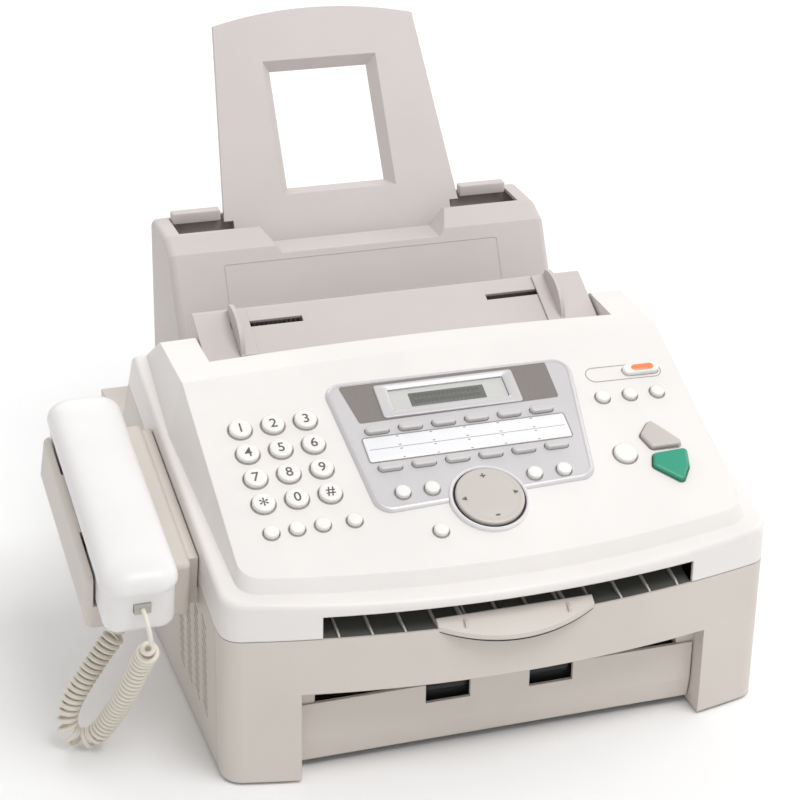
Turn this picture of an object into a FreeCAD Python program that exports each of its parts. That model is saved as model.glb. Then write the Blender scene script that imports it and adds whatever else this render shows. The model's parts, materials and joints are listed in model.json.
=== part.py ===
import FreeCAD, Part
import math
import os

os.makedirs("parts", exist_ok=True)

Vector = FreeCAD.Vector
Rotation = FreeCAD.Rotation
Placement = FreeCAD.Placement

# All sizes are in millimetres and degrees.
# X runs across the machine, Y from front to rear and Z up. While the pieces are made, X = 0 is the
# middle of the body, Y = 0 joins its front corners and Z = 0 is the table.

# Body
body_width = 352.0
front_bow = 23.0
corner_radius = 14.0
wall = 2.5
seam = 0.5
foot_height = 2.0
parting_height = 100.0
parting_angle = 13.8
slope_start = 22.0
shoulder_y = 250.6
shoulder_run = 32.4
rear_deck_height = 108.0
rear_y = 349.0
front_cover_depth = 20.0

# Lower front recess, flap and exit slot
column_width = 45.0
recess_height = 62.5
recess_floor_y = 12.0
flap_face_y = 2.0
flap_top = 47.0
flap_crease = 20.0
flap_bottom = 6.0
flap_thickness = 2.5
flap_side_gap = 1.0
flap_pin_radius = 1.5
flap_pin_back = 6.0
flap_pin_rise = 3.0
flap_pin_length = 3.0
flap_knuckle = 8.0
flap_lean = 2.5
flap_notch_centre = 34.0
flap_notch_width = 29.0
flap_notch_depth = 13.0
exit_slot_margin = 12.0
exit_jamb_low = 38.0
exit_jamb_setback = 1.5
flap_jamb_setback = 1.0

# Upper front slot, its ribbed shelf and the tongue under it
upper_slot_margin = 57.3
upper_slot_top = 115.0
shelf_rear_y = 23.0
shelf_rear_height = 108.0
shelf_thickness = 2.0
shelf_rib_count = 12
shelf_rib_width = 1.2
shelf_rib_height = 2.5
tongue_half_width = 50.0
tongue_reach = 9.0
tongue_top = 102.0
tongue_low = 92.0
tongue_thickness = 3.0

# Vents in the left side
vent_columns = 4
vent_rows = 12
vent_first_y = 48.0
vent_first_z = 26.0
vent_pitch_y = 20.0
vent_pitch_z = 5.6
vent_length = 12.0
vent_width = 1.8
vent_tilt = 30.0

# Top cover and operation panel
rim_front_height = 120.0
rim_rear_y = 233.5
rim_round = 4.0
panel_margin = 14.0
panel_angle = 24.04
panel_back_angle = 1.5
panel_crown = 3.9
crown_depth = 60.0
panel_loft = (-45.0, 8.0)
crease_y = 152.0
crease_height = 198.4
panel_front_reach = 175.8
panel_front_radius = 632.0
panel_corner_radius = 15.0
panel_rear_y = 211.0
side_bevel = 0.286
rear_wall_share = 1.2
rim_overlap = 3.0
crest_room = 20.0
front_bevel = 1.36
horn_width = 23.5
feed_front_y = 175.5
feed_lip_depth = 8.0
hinge_y = 258.0
hinge_height = 134.0
hinge_pin_radius = 3.0
hinge_arm_width = 6.0
hinge_arm_inset = 18.0
hinge_arm_root = 30.0
hinge_arm_rise = 14.0
hinge_arm_gap = 3.0
hinge_arm_lift = 2.0
hinge_eye_share = 2.4
hinge_slot_gap = 1.0
hinge_boss_gap = 2.0
running_clearance = 0.05
slide_clearance = 0.4

# Keys: distance across the panel and distance down the slope from the crease
key_travel = 1.0
key_proud = 2.4
key_depth = 6.0
key_flange = 1.4
key_flange_thickness = 1.2
key_corner = 2.5
key_corner_spread = 1.4
digit_radius = 7.0
digit_first = (-135.6, 44.6)
digit_pitch = (20.85, 19.75)
small_radius = 4.6
function_first = (-136.3, 126.1)
function_pitch = 15.9
monitor_key = (-84.8, 126.5)
menu_key = (-35.2, 143.6)
one_touch_first = (-52.4, 61.7)
one_touch_pitch = 21.9
one_touch_row_gap = 30.0
one_touch_size = (15.5, 5.6)
bezel_keys = ((-50.5, 112.4), (-31.7, 112.4), (35.6, 111.7), (55.1, 111.7))
right_first = (101.7, 56.4)
right_pitch = 19.2
answer_key = (135.6, 36.3)
answer_size = (25.0, 8.0)
stop_key = (100.0, 104.0)
stop_radius = 7.5
copy_outline = ((114.7, 91.4), (124.9, 80.3), (141.5, 102.8), (118.8, 102.8))
fax_outline = ((117.9, 107.4), (141.0, 106.4), (137.5, 120.5), (129.5, 132.0), (114.2, 117.0))
comb_width = 3.0
caller_bridge_v = 99.2
disc_centre = (1.5, 125.3)
disc_radius = 21.5

# Silver trim round the display
bezel_outline = ((-74.8, 21.3), (-67.0, 122.7), (72.6, 117.2), (87.6, 22.6))
bezel_corner = 9.0
bezel_thickness = 1.3
display_low = (-37.0, 30.5)
display_high = (40.4, 47.5)
display_sink = 0.8
display_glass = 1.2
board_thickness = 1.6
board_gap = 0.5
board_post_x = 110.0
board_post_radius = 2.5
display_gap = 1.0

# Rear hopper and paper support
hood_margin = 40.0
hood_angle = 62.0
hood_face_y = 274.4
hood_face_height = 187.0
hood_crease_height = 225.8
hood_top = 233.0
hood_round_run = 18.0
hopper_slot_margin = 12.0
hopper_slot_front_y = 316.0
grip_half_width = 68.0
grip_floor_half_width = 57.0
grip_depth = 12.0
hood_round = 5.0
hood_hole_sink = 10.0
tray_angle = 57.5
tray_foot_y = 338.0
tray_foot_height = 230.0
tray_thickness = 3.0
tray_half_width = 86.6
tray_top_half_width = 74.0
tray_length = 140.0
tray_arch = 9.0
tray_insert = 60.0
tray_insert_half_width = 80.0
tray_window_low = 15.0
tray_window_high = 112.0
tray_window_half_width = 42.0
tray_window_depth = 8.0
tray_window_taper = 6.0
tray_window_wall = 2.0
tray_rib_place = 74.0
tray_rib_width = 3.0
tray_rib_lip = 14.0
tray_rib_foot = 8.0
tray_slide_gap = 0.2

# Document table and its guides
table_front_y = 182.0
table_front_height = 186.0
table_rear_y = 229.0
table_rear_height = 210.2
table_side_gap = 2.0
guide_rest = 113.0
guide_travel = 45.0
guide_length = 40.0
guide_height = 13.0
guide_thickness = 3.0
guide_foot = 9.0
guide_leg_rear = 11.0
guide_leg_width = 4.0
gear_module = 1.0
root_widening = 0.45
tip_narrowing = 0.33
tooth_rise = 0.9 * gear_module
tooth_drop = 1.2 * gear_module
backlash = 0.35
pinion_teeth = 16
rack_rear_gap = 1.04723
pinion_stud_radius = 2.0
pinion_head = 1.5
rack_height = 4.0
rack_back = 3.0

# Scanner deck
deck_gap = 1.0
deck_thickness = 3.0
deck_bend_y = 180.0
deck_rear_y = 252.0
deck_margin = 45.0
sensor_y = 112.0
sensor_half_length = 115.0
sensor_width = 18.0
sensor_height = 12.0
feed_roller_y = 150.0
feed_roller_radius = 9.0
feed_roller_proud = 2.5
feed_roller_half_width = 62.0
shaft_radius = 3.0
bearing_width = 5.0

# Chassis
chassis_margin = 48.0
chassis_sheet = 2.0
chassis_front_y = 26.0
chassis_rear_y = 306.0
chassis_rear_height = 150.0
chassis_neck_y = 262.0
chassis_neck_height = 120.0
pan_rear_y = 240.0

# Printing parts: roller axes in the side view
drum_axis = (130.0, 62.0)
drum_radius = 12.0
drum_teeth = 40
fuser_axis = (67.0, 55.0)
fuser_radius = 11.0
fuser_teeth = 24
idler_teeth = 32
pressure_radius = 10.0
exit_axis = (34.0, 48.0)
exit_radius = 6.0
exit_teeth = 16
exit_idler_teeth = 14
pickup_axis = (288.0, 132.0)
pickup_radius = 11.0
pickup_half_width = 40.0
roller_gap = 0.3
roller_end_gap = 3.0
motor_teeth = 12
motor_mesh_angle = 65.0
motor_radius = 20.0
motor_length = 24.0
motor_shaft_radius = 2.0
motor_post_radius = 2.0
motor_post_angle = 30.0
gear_width = 6.0
gear_gap = 1.5
toner_size = (70.0, 34.0)
toner_low = 50.0
toner_end_gap = 6.0
toner_round = 6.0
toner_grip = (60.0, 12.0, 6.0)
laser_size = (60.0, 30.0)
laser_front_y = 176.0
laser_low = 110.0
laser_end_gap = 24.0
laser_round = 4.0
laser_window = (12.0, 3.0, 6.0)
laser_cap = (16.0, 4.0)

# Handset and cradle, in a frame that leans with the cradle's slope
cradle_angle = 12.5
cradle_front_y = 54.0
cradle_low = 97.0
cradle_width = 63.5
cradle_length = 152.0
cradle_rake = 14.0
cradle_bottom = -9.0
cradle_deck = 33.0
cradle_gap = 6.5
cradle_round = 4.0
cradle_bracket = (8.0, 136.0, 30.0)
cradle_foot_high = 6.0
cradle_skirt_gap = 0.7
cup_wall = 4.0
cup_half_width = 23.0
cup_floor = 10.0
front_cup_end = 42.0
rear_cup_start = 98.0
cup_gap = 3.0
handset_front = -30.0
handset_length = 184.0
handset_half_width = 23.5
handset_top = 54.0
handset_split = 40.0
handset_corner = 12.0
handset_round = 9.0
handset_inset = 2.0
handset_gap = 0.4
handset_wall = 2.0
hook_travel = 4.0
hook_u = 118.0
hook_size = (7.0, 14.0)
hook_flange = 2.0

# Curly cord and its plug
wire_diameter = 3.0
curl_radius = 5.5
curl_pitch = 3.85
curl_gap = 0.85
curl_lead = 20.0
curl_ramp = 16.0
coil_start = 22.0
coil_end = 9.0
samples_per_turn = 24
plug_size = (10.0, 18.0, 6.5)
plug_w = 30.0
plug_clearance = 0.3
cord_sink = 4.0
# Route from the plug in the handset down to the table and up to the cradle's underside
cord_route = (
    (-219.0, 18.169, 119.785),
    (-219.0, 14.313, 118.93),
    (-219.0, 10.017, 117.978),
    (-217.5, 5.5, 108.0),
    (-216.5, 11.0, 97.0),
    (-218.5, 20.5, 87.0),
    (-222.0, 28.0, 71.0),
    (-226.0, 36.0, 55.0),
    (-230.5, 46.0, 39.0),
    (-235.5, 56.0, 22.0),
    (-242.5, 63.0, 8.3),
    (-255.0, 67.0, 5.9),
    (-260.0, 68.5, 19.0),
    (-254.0, 69.5, 35.0),
    (-244.5, 69.0, 50.0),
    (-235.5, 68.5, 64.0),
    (-226.5, 68.0, 76.0),
    (-219.0, 68.0, 84.0),
    (-219.0, 68.0, 90.0),
    (-219.0, 68.0, 95.0),
)

# Feet, screws, main board and rear sockets
foot_radius = 8.0
foot_inset = 26.0
screw_radius = 1.5
screw_hole_gap = 0.1
screw_head_radius = 3.0
screw_head_height = 1.5
screw_inset = 60.0
screw_end_inset = 5.0
board_leg_radius = 3.0
board_leg_height = 5.0
board_side_gap = 6.0
board_front_gap = 6.0
board_rear_gap = 1.0
transformer_size = (42.0, 34.0, 28.0)
transformer_place = (84.0, 26.0)
capacitor_size = (7.0, 24.0)
capacitor_places = ((40.0, 22.0), (40.0, 42.0), (20.0, 22.0))
chip_size = (22.0, 22.0, 3.0)
chip_places = ((-20.0, 34.0), (-60.0, 34.0), (-92.0, 34.0))
socket_width = 15.0
socket_height = 13.0
socket_depth = 16.0
socket_wall = 2.0
socket_first_x = -60.0
socket_pitch = 22.0
socket_post = 4.0
inlet_x = 90.0
inlet_size = (30.0, 24.0)
socket_z = 40.0
socket_clearance = 0.2

# Values worked out from the driving dimensions
body_half = body_width / 2
bow_radius = (body_half ** 2 + front_bow ** 2) / (2 * front_bow)
recess_half = body_half - column_width
exit_slot_half = recess_half - exit_slot_margin
upper_slot_half = body_half - upper_slot_margin
panel_half = body_half - panel_margin
feed_half = panel_half - horn_width
hood_half = body_half - hood_margin
chassis_half = body_half - chassis_margin
deck_half = body_half - deck_margin
roller_half = chassis_half - roller_end_gap
table_half = feed_half - table_side_gap
crown_radius = (panel_half ** 2 + panel_crown ** 2) / (2 * panel_crown)
floor_top = foot_height + wall
slope = math.tan(math.radians(parting_angle))
far = 600.0
up = Vector(0, 0, 1)
across = Vector(1, 0, 0)
flap_pin_y = flap_face_y + flap_pin_back
flap_pin_z = flap_bottom + flap_pin_rise
deck_front_y = shelf_rear_y + deck_gap
deck_front_height = shelf_rear_height
deck_slope = math.tan(math.radians(panel_angle))
deck_drop = deck_thickness / math.cos(math.radians(panel_angle))
deck_flat = deck_front_height + (deck_bend_y - deck_front_y) * deck_slope
deck_low = deck_flat - deck_thickness
deck_low_bend_y = deck_bend_y + deck_thickness * math.tan(math.radians(panel_angle / 2))
pinion_radius = pinion_teeth * gear_module / 2
rack_high = -wall - slide_clearance
rack_floor = rack_high - 2 * rack_height - slide_clearance
rack_reach = pinion_radius + tooth_drop + rack_back
plate_outside = chassis_half + chassis_sheet
gear_x = plate_outside + gear_gap
motor_x = gear_x + gear_width + gear_gap
shaft_end = plate_outside + gear_gap
feed_roller_sink = feed_roller_radius - feed_roller_proud
handset_x = cup_wall + cup_half_width - cradle_gap - cradle_width
handset_end = handset_front + handset_length
handset_low = cup_floor + handset_gap
plug_front = handset_front

panel_frame = Placement(Vector(0, crease_y, crease_height), Rotation(across, panel_angle))
tray_frame = Placement(Vector(0, tray_foot_y, tray_foot_height), Rotation(across, tray_angle))
table_rise = table_rear_height - table_front_height
table_slope = table_rise / (table_rear_y - table_front_y)
table_angle = math.degrees(math.atan(table_slope))
pinion_y = (rack_high - rack_height) * table_slope - rack_reach - rack_rear_gap
table_frame = Placement(Vector(0, table_rear_y, table_rear_height), Rotation(across, table_angle))
cradle_frame = Placement(Vector(-body_half, cradle_front_y, cradle_low), Rotation(across, cradle_angle))


# Small helpers
def box(x0, x1, y0, y1, z0, z1):
    return Part.makeBox(x1 - x0, y1 - y0, z1 - z0, Vector(x0, y0, z0))


def rod(start, direction, radius, length):
    return Part.makeCylinder(radius, length, start, direction)


def prism_x(outline, x0, x1):
    points = [Vector(x0, y, z) for y, z in outline]
    face = Part.Face(Part.makePolygon(points + points[:1]))
    return face.extrude(Vector(x1 - x0, 0, 0))


def prism_z(outline, z0, z1):
    points = [Vector(x, y, z0) for x, y in outline]
    face = Part.Face(Part.makePolygon(points + points[:1]))
    return face.extrude(Vector(0, 0, z1 - z0))


def joined(shapes):
    return shapes[0].fuse(shapes[1:]).removeSplitter()


def placed(shape, frame):
    copy = shape.copy()
    copy.Placement = frame.multiply(copy.Placement)
    return copy


def both_sides(shape):
    return [shape, shape.mirror(Vector(0, 0, 0), Vector(1, 0, 0))]


def rounded_box(x0, x1, y0, y1, z0, z1, radius):
    block = box(x0, x1, y0, y1, z0, z1)
    upright = [edge for edge in block.Edges if abs(edge.tangentAt(edge.FirstParameter).z) > 0.99]
    return block.makeFillet(radius, upright)


def rounded_prism(outline, z0, z1, radius):
    block = prism_z(outline, z0, z1)
    upright = [edge for edge in block.Edges if abs(edge.tangentAt(edge.FirstParameter).z) > 0.99]
    return block.makeFillet(radius, upright)


def parting_at(y):
    return parting_height + max(0.0, y - slope_start) * slope


def rim_at(y):
    return rim_front_height + (y + front_bow) * slope


def bow_at(x, inset=0.0):
    return bow_radius - front_bow - math.sqrt((bow_radius - inset) ** 2 - x ** 2)


def bowed_wire(half, front, arc_radius, corner, rear, z):
    """A plan outline whose front is an arc, with two rounded front corners."""
    centre_y = front + arc_radius
    corner_x = half - corner
    corner_y = centre_y - math.sqrt((arc_radius - corner) ** 2 - corner_x ** 2)
    reach = arc_radius / (arc_radius - corner)
    touch_x = corner_x * reach
    touch_y = centre_y + (corner_y - centre_y) * reach
    middle = math.atan2(touch_y - corner_y, touch_x - corner_x) / 2
    bulge_x = corner_x + corner * math.cos(middle)
    bulge_y = corner_y + corner * math.sin(middle)
    right = Part.Arc(Vector(half, corner_y, z), Vector(bulge_x, bulge_y, z), Vector(touch_x, touch_y, z))
    front_arc = Part.Arc(Vector(touch_x, touch_y, z), Vector(0, front, z), Vector(-touch_x, touch_y, z))
    left = Part.Arc(Vector(-touch_x, touch_y, z), Vector(-bulge_x, bulge_y, z), Vector(-half, corner_y, z))
    edges = [
        right.toShape(),
        front_arc.toShape(),
        left.toShape(),
        Part.makeLine(Vector(-half, corner_y, z), Vector(-half, rear, z)),
        Part.makeLine(Vector(-half, rear, z), Vector(half, rear, z)),
        Part.makeLine(Vector(half, rear, z), Vector(half, corner_y, z)),
    ]
    return Part.Wire(edges)


def plan_prism(inset, z0, z1, rear):
    wire = bowed_wire(
        body_half - inset, inset - front_bow, bow_radius - inset, corner_radius - inset, rear - inset, z0
    )
    return Part.Face(wire).extrude(Vector(0, 0, z1 - z0))


# Lower case
def lower_profile(inset):
    top = [
        (-far, parting_height),
        (slope_start, parting_height),
        (shoulder_y, parting_at(shoulder_y)),
        (shoulder_y + shoulder_run, rear_deck_height),
        (far, rear_deck_height),
    ]
    if inset:
        top = [
            (-far, far),
            (shoulder_y - 2 * inset, far),
            (shoulder_y - 2 * inset, parting_at(shoulder_y) - inset),
            (shoulder_y + shoulder_run - inset, rear_deck_height - inset),
            (far, rear_deck_height - inset),
        ]
    return [(-far, foot_height + inset)] + top + [(far, foot_height + inset)]


def lower_block(inset):
    plan = plan_prism(inset, 0, far, rear_y)
    return plan.common(prism_x(lower_profile(inset), -far, far))


def recess_lining():
    """Ledge, cheeks and slot jambs round the recess in the lower front."""
    half = recess_half + wall
    top = recess_height + wall
    outer = box(-half, half, -far, recess_floor_y, foot_height, top)
    inner = box(-recess_half, recess_half, -far, recess_floor_y + wall, 0, recess_height)
    lining = outer.cut(inner).common(plan_prism(0, 0, far, rear_y))
    jamb_front = flap_face_y + exit_jamb_setback
    jambs = both_sides(box(exit_slot_half, half, jamb_front, recess_floor_y, exit_jamb_low, top))
    return [lining] + jambs


def shelf():
    """Ribbed shelf under the upper slot, rising to the scanner deck."""
    front_y = bow_at(upper_slot_half, wall) + 1
    outline = [
        (-front_bow, parting_height - shelf_thickness),
        (front_y, parting_height - shelf_thickness),
        (shelf_rear_y, shelf_rear_height - shelf_thickness),
        (shelf_rear_y, shelf_rear_height),
        (front_y, parting_height),
        (-front_bow, parting_height),
    ]
    plate = prism_x(outline, -upper_slot_half + seam, upper_slot_half - seam)
    ribs = []
    ridge = [(y, z + shelf_rib_height) for y, z in (outline[4], outline[3])] + [outline[3], outline[4]]
    pitch = 2 * upper_slot_half / shelf_rib_count
    for index in range(shelf_rib_count):
        x = -upper_slot_half + (index + 0.5) * pitch
        ribs.append(prism_x(ridge, x - shelf_rib_width / 2, x + shelf_rib_width / 2))
    return [plate.common(plan_prism(0, 0, far, rear_y))] + ribs


def tongue():
    """Curved finger lip below the upper slot."""
    tip = -front_bow - tongue_reach
    edge = bow_at(tongue_half_width)
    arc = Part.Arc(Vector(-tongue_half_width, edge, 0), Vector(0, tip, 0), Vector(tongue_half_width, edge, 0))
    back = edge + 2 * wall
    wire = Part.Wire([
        arc.toShape(),
        Part.makeLine(Vector(tongue_half_width, edge, 0), Vector(tongue_half_width, back, 0)),
        Part.makeLine(Vector(tongue_half_width, back, 0), Vector(-tongue_half_width, back, 0)),
        Part.makeLine(Vector(-tongue_half_width, back, 0), Vector(-tongue_half_width, edge, 0)),
    ])
    plan = Part.Face(wire).extrude(Vector(0, 0, far))
    section = [
        (tip, tongue_low),
        (tip, tongue_low + tongue_thickness),
        (back, tongue_top + tongue_thickness),
        (back, tongue_top),
    ]
    return plan.common(prism_x(section, -tongue_half_width, tongue_half_width))


def vents():
    deep = 2 * wall
    half_length = vent_length / 2
    half_width = vent_width / 2
    turn = Rotation(across, vent_tilt)
    slots = []
    for column in range(vent_columns):
        for row in range(vent_rows):
            y = vent_first_y + column * vent_pitch_y
            z = vent_first_z + row * vent_pitch_z
            slot = box(-deep, deep, -half_length, half_length, -half_width, half_width)
            slots.append(placed(slot, Placement(Vector(-body_half, y, z), turn)))
    return slots


def screw_spots():
    spots = []
    for x in (-body_half + screw_inset, body_half - screw_inset):
        for y in (chassis_front_y + screw_end_inset, pan_rear_y - screw_end_inset):
            spots.append((x, y))
    return spots


def foot_spots():
    spots = []
    for x in (-body_half + foot_inset, body_half - foot_inset):
        for y in (foot_inset - front_bow / 2, rear_y - foot_inset):
            spots.append((x, y))
    return spots


def socket_list():
    """Place, width and height of the two line sockets and the power inlet."""
    rows = []
    for index in range(2):
        rows.append((socket_first_x + index * socket_pitch, socket_width, socket_height))
    return rows + [(inlet_x, inlet_size[0], inlet_size[1])]


def socket_box(socket, grow, front, rear):
    x, width, height = socket
    half_width = width / 2 + grow
    half_height = height / 2 + grow
    return box(x - half_width, x + half_width, front, rear, socket_z - half_height, socket_z + half_height)


def hinge_slots():
    x0 = body_half - hinge_arm_inset - hinge_arm_width - hinge_slot_gap
    x1 = body_half - hinge_arm_inset + hinge_slot_gap
    reach = 4 * hinge_pin_radius
    return both_sides(box(x0, x1, shoulder_y - reach, hinge_y + reach, hinge_height - reach, far))


def hinge_studs():
    """Bosses on the lower case's side walls that carry the cover's two pivots."""
    x0 = body_half - hinge_arm_inset - hinge_arm_width
    centre = Vector(x0, hinge_y, hinge_height)
    inside = body_half - wall / 2
    pin = rod(centre, across, hinge_pin_radius, inside - x0)
    boss_x = body_half - hinge_arm_inset + hinge_boss_gap
    boss_start = Vector(boss_x, hinge_y, hinge_height)
    boss = rod(boss_start, across, hinge_pin_radius * 2, inside - boss_x)
    return both_sides(pin.fuse(boss))


def lower_shell():
    shell = lower_block(0).cut(lower_block(wall))
    mouth = box(-recess_half, recess_half, -far, front_cover_depth, 0, recess_height)
    return shell.cut(mouth)


def make_base_housing():
    shell = lower_shell().common(box(-far, far, front_cover_depth, far, 0, far))
    holes = vents() + hinge_slots() + [hood_hole()]
    for socket in socket_list():
        holes.append(socket_box(socket, socket_clearance, rear_y - 2 * wall, rear_y + wall))
    for x, y in screw_spots():
        holes.append(rod(Vector(x, y, 0), up, screw_radius + screw_hole_gap, 2 * floor_top))
    shell = shell.cut(holes)
    return joined([shell] + hinge_studs())


def make_front_cover():
    shell = lower_shell().common(box(-far, far, -far, front_cover_depth - seam, 0, far))
    pins = both_sides(
        rod(
            Vector(recess_half - flap_side_gap - flap_pin_length, flap_pin_y, flap_pin_z), across,
            flap_pin_radius, flap_side_gap + flap_pin_length + wall / 2
        )
    )
    return joined([shell, tongue()] + recess_lining() + shelf() + pins)


def make_exit_flap():
    half = recess_half - flap_side_gap
    face = [
        (flap_face_y, flap_top),
        (flap_face_y, flap_crease),
        (flap_face_y + flap_lean, flap_bottom),
        (flap_face_y + flap_lean + flap_thickness, flap_bottom),
        (flap_face_y + flap_thickness, flap_crease),
        (flap_face_y + flap_thickness, flap_top),
    ]
    plate = prism_x(face, -half, half)
    knuckle_start = Vector(half - flap_knuckle, flap_pin_y, flap_pin_z)
    knuckles = both_sides(rod(knuckle_start, across, 2 * flap_pin_radius, flap_knuckle))
    cuts = both_sides(
        box(
            flap_notch_centre - flap_notch_width / 2, flap_notch_centre + flap_notch_width / 2,
            -far, far, flap_top - flap_notch_depth, far
        )
    )
    jamb_side = exit_slot_half - slide_clearance
    jamb_front = flap_face_y + flap_jamb_setback
    jamb_low = exit_jamb_low - slide_clearance
    cuts += both_sides(box(jamb_side, recess_half, jamb_front, far, jamb_low, far))
    cuts += both_sides(rod(knuckle_start, across, flap_pin_radius + running_clearance, 2 * flap_knuckle))
    return joined([plate] + knuckles).cut(cuts)


# Top cover
def crown_drop(x):
    return crown_radius - math.sqrt(crown_radius ** 2 - x ** 2)


def crown_prism(direction, lower, half_low=0.0, half_high=0.0):
    """A bar with a crowned top. Its section stands on the crease and runs along a direction."""
    half_low = half_low or far / 3
    half_high = half_high or far / 3
    top = crease_height + panel_crown - lower
    edge = top - crown_drop(half_high)
    left = Vector(-half_high, crease_y, edge)
    right = Vector(half_high, crease_y, edge)
    arc = Part.Arc(left, Vector(0, crease_y, top), right)
    low = crease_height - crown_depth
    wire = Part.Wire([
        arc.toShape(),
        Part.makeLine(right, Vector(half_low, crease_y, low)),
        Part.makeLine(Vector(half_low, crease_y, low), Vector(-half_low, crease_y, low)),
        Part.makeLine(Vector(-half_low, crease_y, low), left),
    ])
    return Part.Face(wire).extrude(direction)


def panel_wire(height, inset):
    return bowed_wire(
        panel_half - side_bevel * height - inset,
        -(panel_front_reach - front_bevel * height - inset),
        panel_front_radius,
        panel_corner_radius,
        panel_front_reach / 3,
        height,
    )


def panel_front_block(inset):
    loft = Part.makeLoft([panel_wire(height, inset) for height in panel_loft], True, True)
    down = panel_frame.Rotation.multVec(Vector(0, -far, 0))
    return placed(loft, panel_frame).common(crown_prism(down, inset))


def panel_back_block(inset):
    turn = math.radians(panel_back_angle)
    away = Vector(0, far * math.cos(turn), far * math.sin(turn))
    draft = side_bevel * math.cos(math.radians(panel_angle))
    return crown_prism(away, inset, panel_half - inset + crown_depth * draft, panel_half - inset)


def cover_solid(inset):
    drop = inset / math.cos(math.radians(parting_angle))
    rear_shift = rear_wall_share * inset
    rear_low = (shoulder_y - rear_shift, parting_at(shoulder_y) + seam)
    rear_high = (rim_rear_y - rear_shift, rim_at(rim_rear_y - rear_shift) - drop)
    front_high = (-far / 6, rim_at(-far / 6) - drop)
    if inset:
        low = parting_height / 2
        outline = [(-far / 6, low), (rear_low[0], low), rear_low, rear_high, front_high]
    else:
        low = parting_height + seam
        outline = [(-far / 6, low), (slope_start, low), rear_low, rear_high, front_high]
    rim = plan_prism(inset, 0, far, rear_y).common(prism_x(outline, -far, far))
    if not inset:
        rim = rounded_rim(rim)
    crest = (panel_rear_y - rear_shift, crease_height + panel_crown)
    lean = (rear_high[0] - crest[0]) / (crest[1] - rear_high[1])
    above = [
        (front_high[0], front_high[1] - rim_overlap),
        (rear_high[0] + rim_overlap * lean, rear_high[1] - rim_overlap),
        (crest[0] - crest_room * lean, crest[1] + crest_room),
        (front_high[0], crest[1] + crest_room),
    ]
    crest_space = prism_x(above, -far, far)
    blocks = [panel_front_block(inset).common(crest_space), panel_back_block(inset).common(crest_space)]
    return joined([rim] + blocks)


def rounded_rim(rim):
    """Rounds the rim's upper outer edge along the two sides and the front."""
    chosen = []
    for edge in rim.Edges:
        middle = edge.valueAt((edge.FirstParameter + edge.LastParameter) / 2)
        on_top = abs(middle.z - rim_at(middle.y)) < 0.01
        if on_top and middle.y < rim_rear_y - 1:
            chosen.append(edge)
    return rim.makeFillet(rim_round, chosen)


def cover_openings():
    feed = box(-feed_half, feed_half, feed_front_y, far, 0, far)
    slot = box(-upper_slot_half, upper_slot_half, -far, front_cover_depth, 0, upper_slot_top)
    return [feed, slot]


def feed_walls():
    sides = both_sides(box(feed_half, feed_half + wall, feed_front_y - wall, far, 0, far))
    lip = box(-feed_half, feed_half, feed_front_y - wall, feed_front_y, crease_height - feed_lip_depth, far)
    return sides + [lip]


def hinge_arms():
    """Two bent arms under the horns of the cover, each with a pivot bore."""
    x1 = body_half - hinge_arm_inset
    x0 = x1 - hinge_arm_width
    grip = hinge_eye_share * hinge_pin_radius
    root_y = shoulder_y - hinge_arm_root
    end_y = rim_rear_y - hinge_arm_gap
    under_y = shoulder_y - hinge_arm_rise
    outline = [
        (root_y, parting_at(root_y) + hinge_arm_rise),
        (root_y, rim_at(root_y) - wall / 2),
        (end_y, rim_at(end_y) - wall / 2),
        (shoulder_y - hinge_arm_gap, parting_at(shoulder_y) + hinge_arm_gap),
        (hinge_y + grip / 2, hinge_height + grip / 2),
        (hinge_y, hinge_height - grip),
        (hinge_y - grip, hinge_height),
        (under_y, parting_at(under_y) + hinge_arm_lift),
    ]
    arm = prism_x(outline, x0, x1)
    eye = rod(Vector(x0, hinge_y, hinge_height), across, grip, hinge_arm_width)
    bore = rod(Vector(0, hinge_y, hinge_height), across, hinge_pin_radius + running_clearance, far)
    return both_sides(arm.fuse(eye).cut(bore))


def surface_height(x):
    """Height of the crowned panel over the flat panel frame, square to the slope."""
    return (panel_crown - crown_drop(x)) * math.cos(math.radians(panel_angle))


def make_top_cover():
    hollow = cover_inside.cut(feed_walls())
    shell = cover_outside.cut([hollow] + cover_openings())
    holes = [key_hole(spec) for specs in key_sets().values() for spec in specs] + [display_space()]
    shell = shell.cut([placed(hole, panel_frame) for hole in holes])
    return joined([shell] + hinge_arms())


# Keys on the panel
def pill(x, v, width, height, low, high):
    radius = height / 2
    reach_out = width / 2 - radius
    edges = []
    for side in (1, -1):
        start = Vector(x + side * reach_out, -v - side * radius, low)
        tip = Vector(x + side * (reach_out + radius), -v, low)
        end = Vector(x + side * reach_out, -v + side * radius, low)
        edges.append(Part.Arc(start, tip, end).toShape())
        edges.append(Part.makeLine(end, Vector(x - side * reach_out, -v + side * radius, low)))
    return Part.Face(Part.Wire(edges)).extrude(Vector(0, 0, high - low))


def round_spec(place, radius):
    return {"place": place, "radius": radius}


def pill_spec(place, size):
    return {"place": place, "size": size}


def outline_spec(points):
    x = sum(point[0] for point in points) / len(points)
    v = sum(point[1] for point in points) / len(points)
    return {"place": (x, v), "outline": points}


def on_bezel(spec):
    x, v = spec["place"]
    beside = bezel_outline[0][0] < x < bezel_outline[3][0]
    return beside and bezel_outline[0][1] < v < bezel_outline[2][1] + disc_radius / 2


def key_level(spec):
    """Height of the surface round a key: the panel, or the trim where the key stands on it."""
    if on_bezel(spec):
        return surface_height(0) + bezel_thickness
    return surface_height(spec["place"][0])


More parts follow.
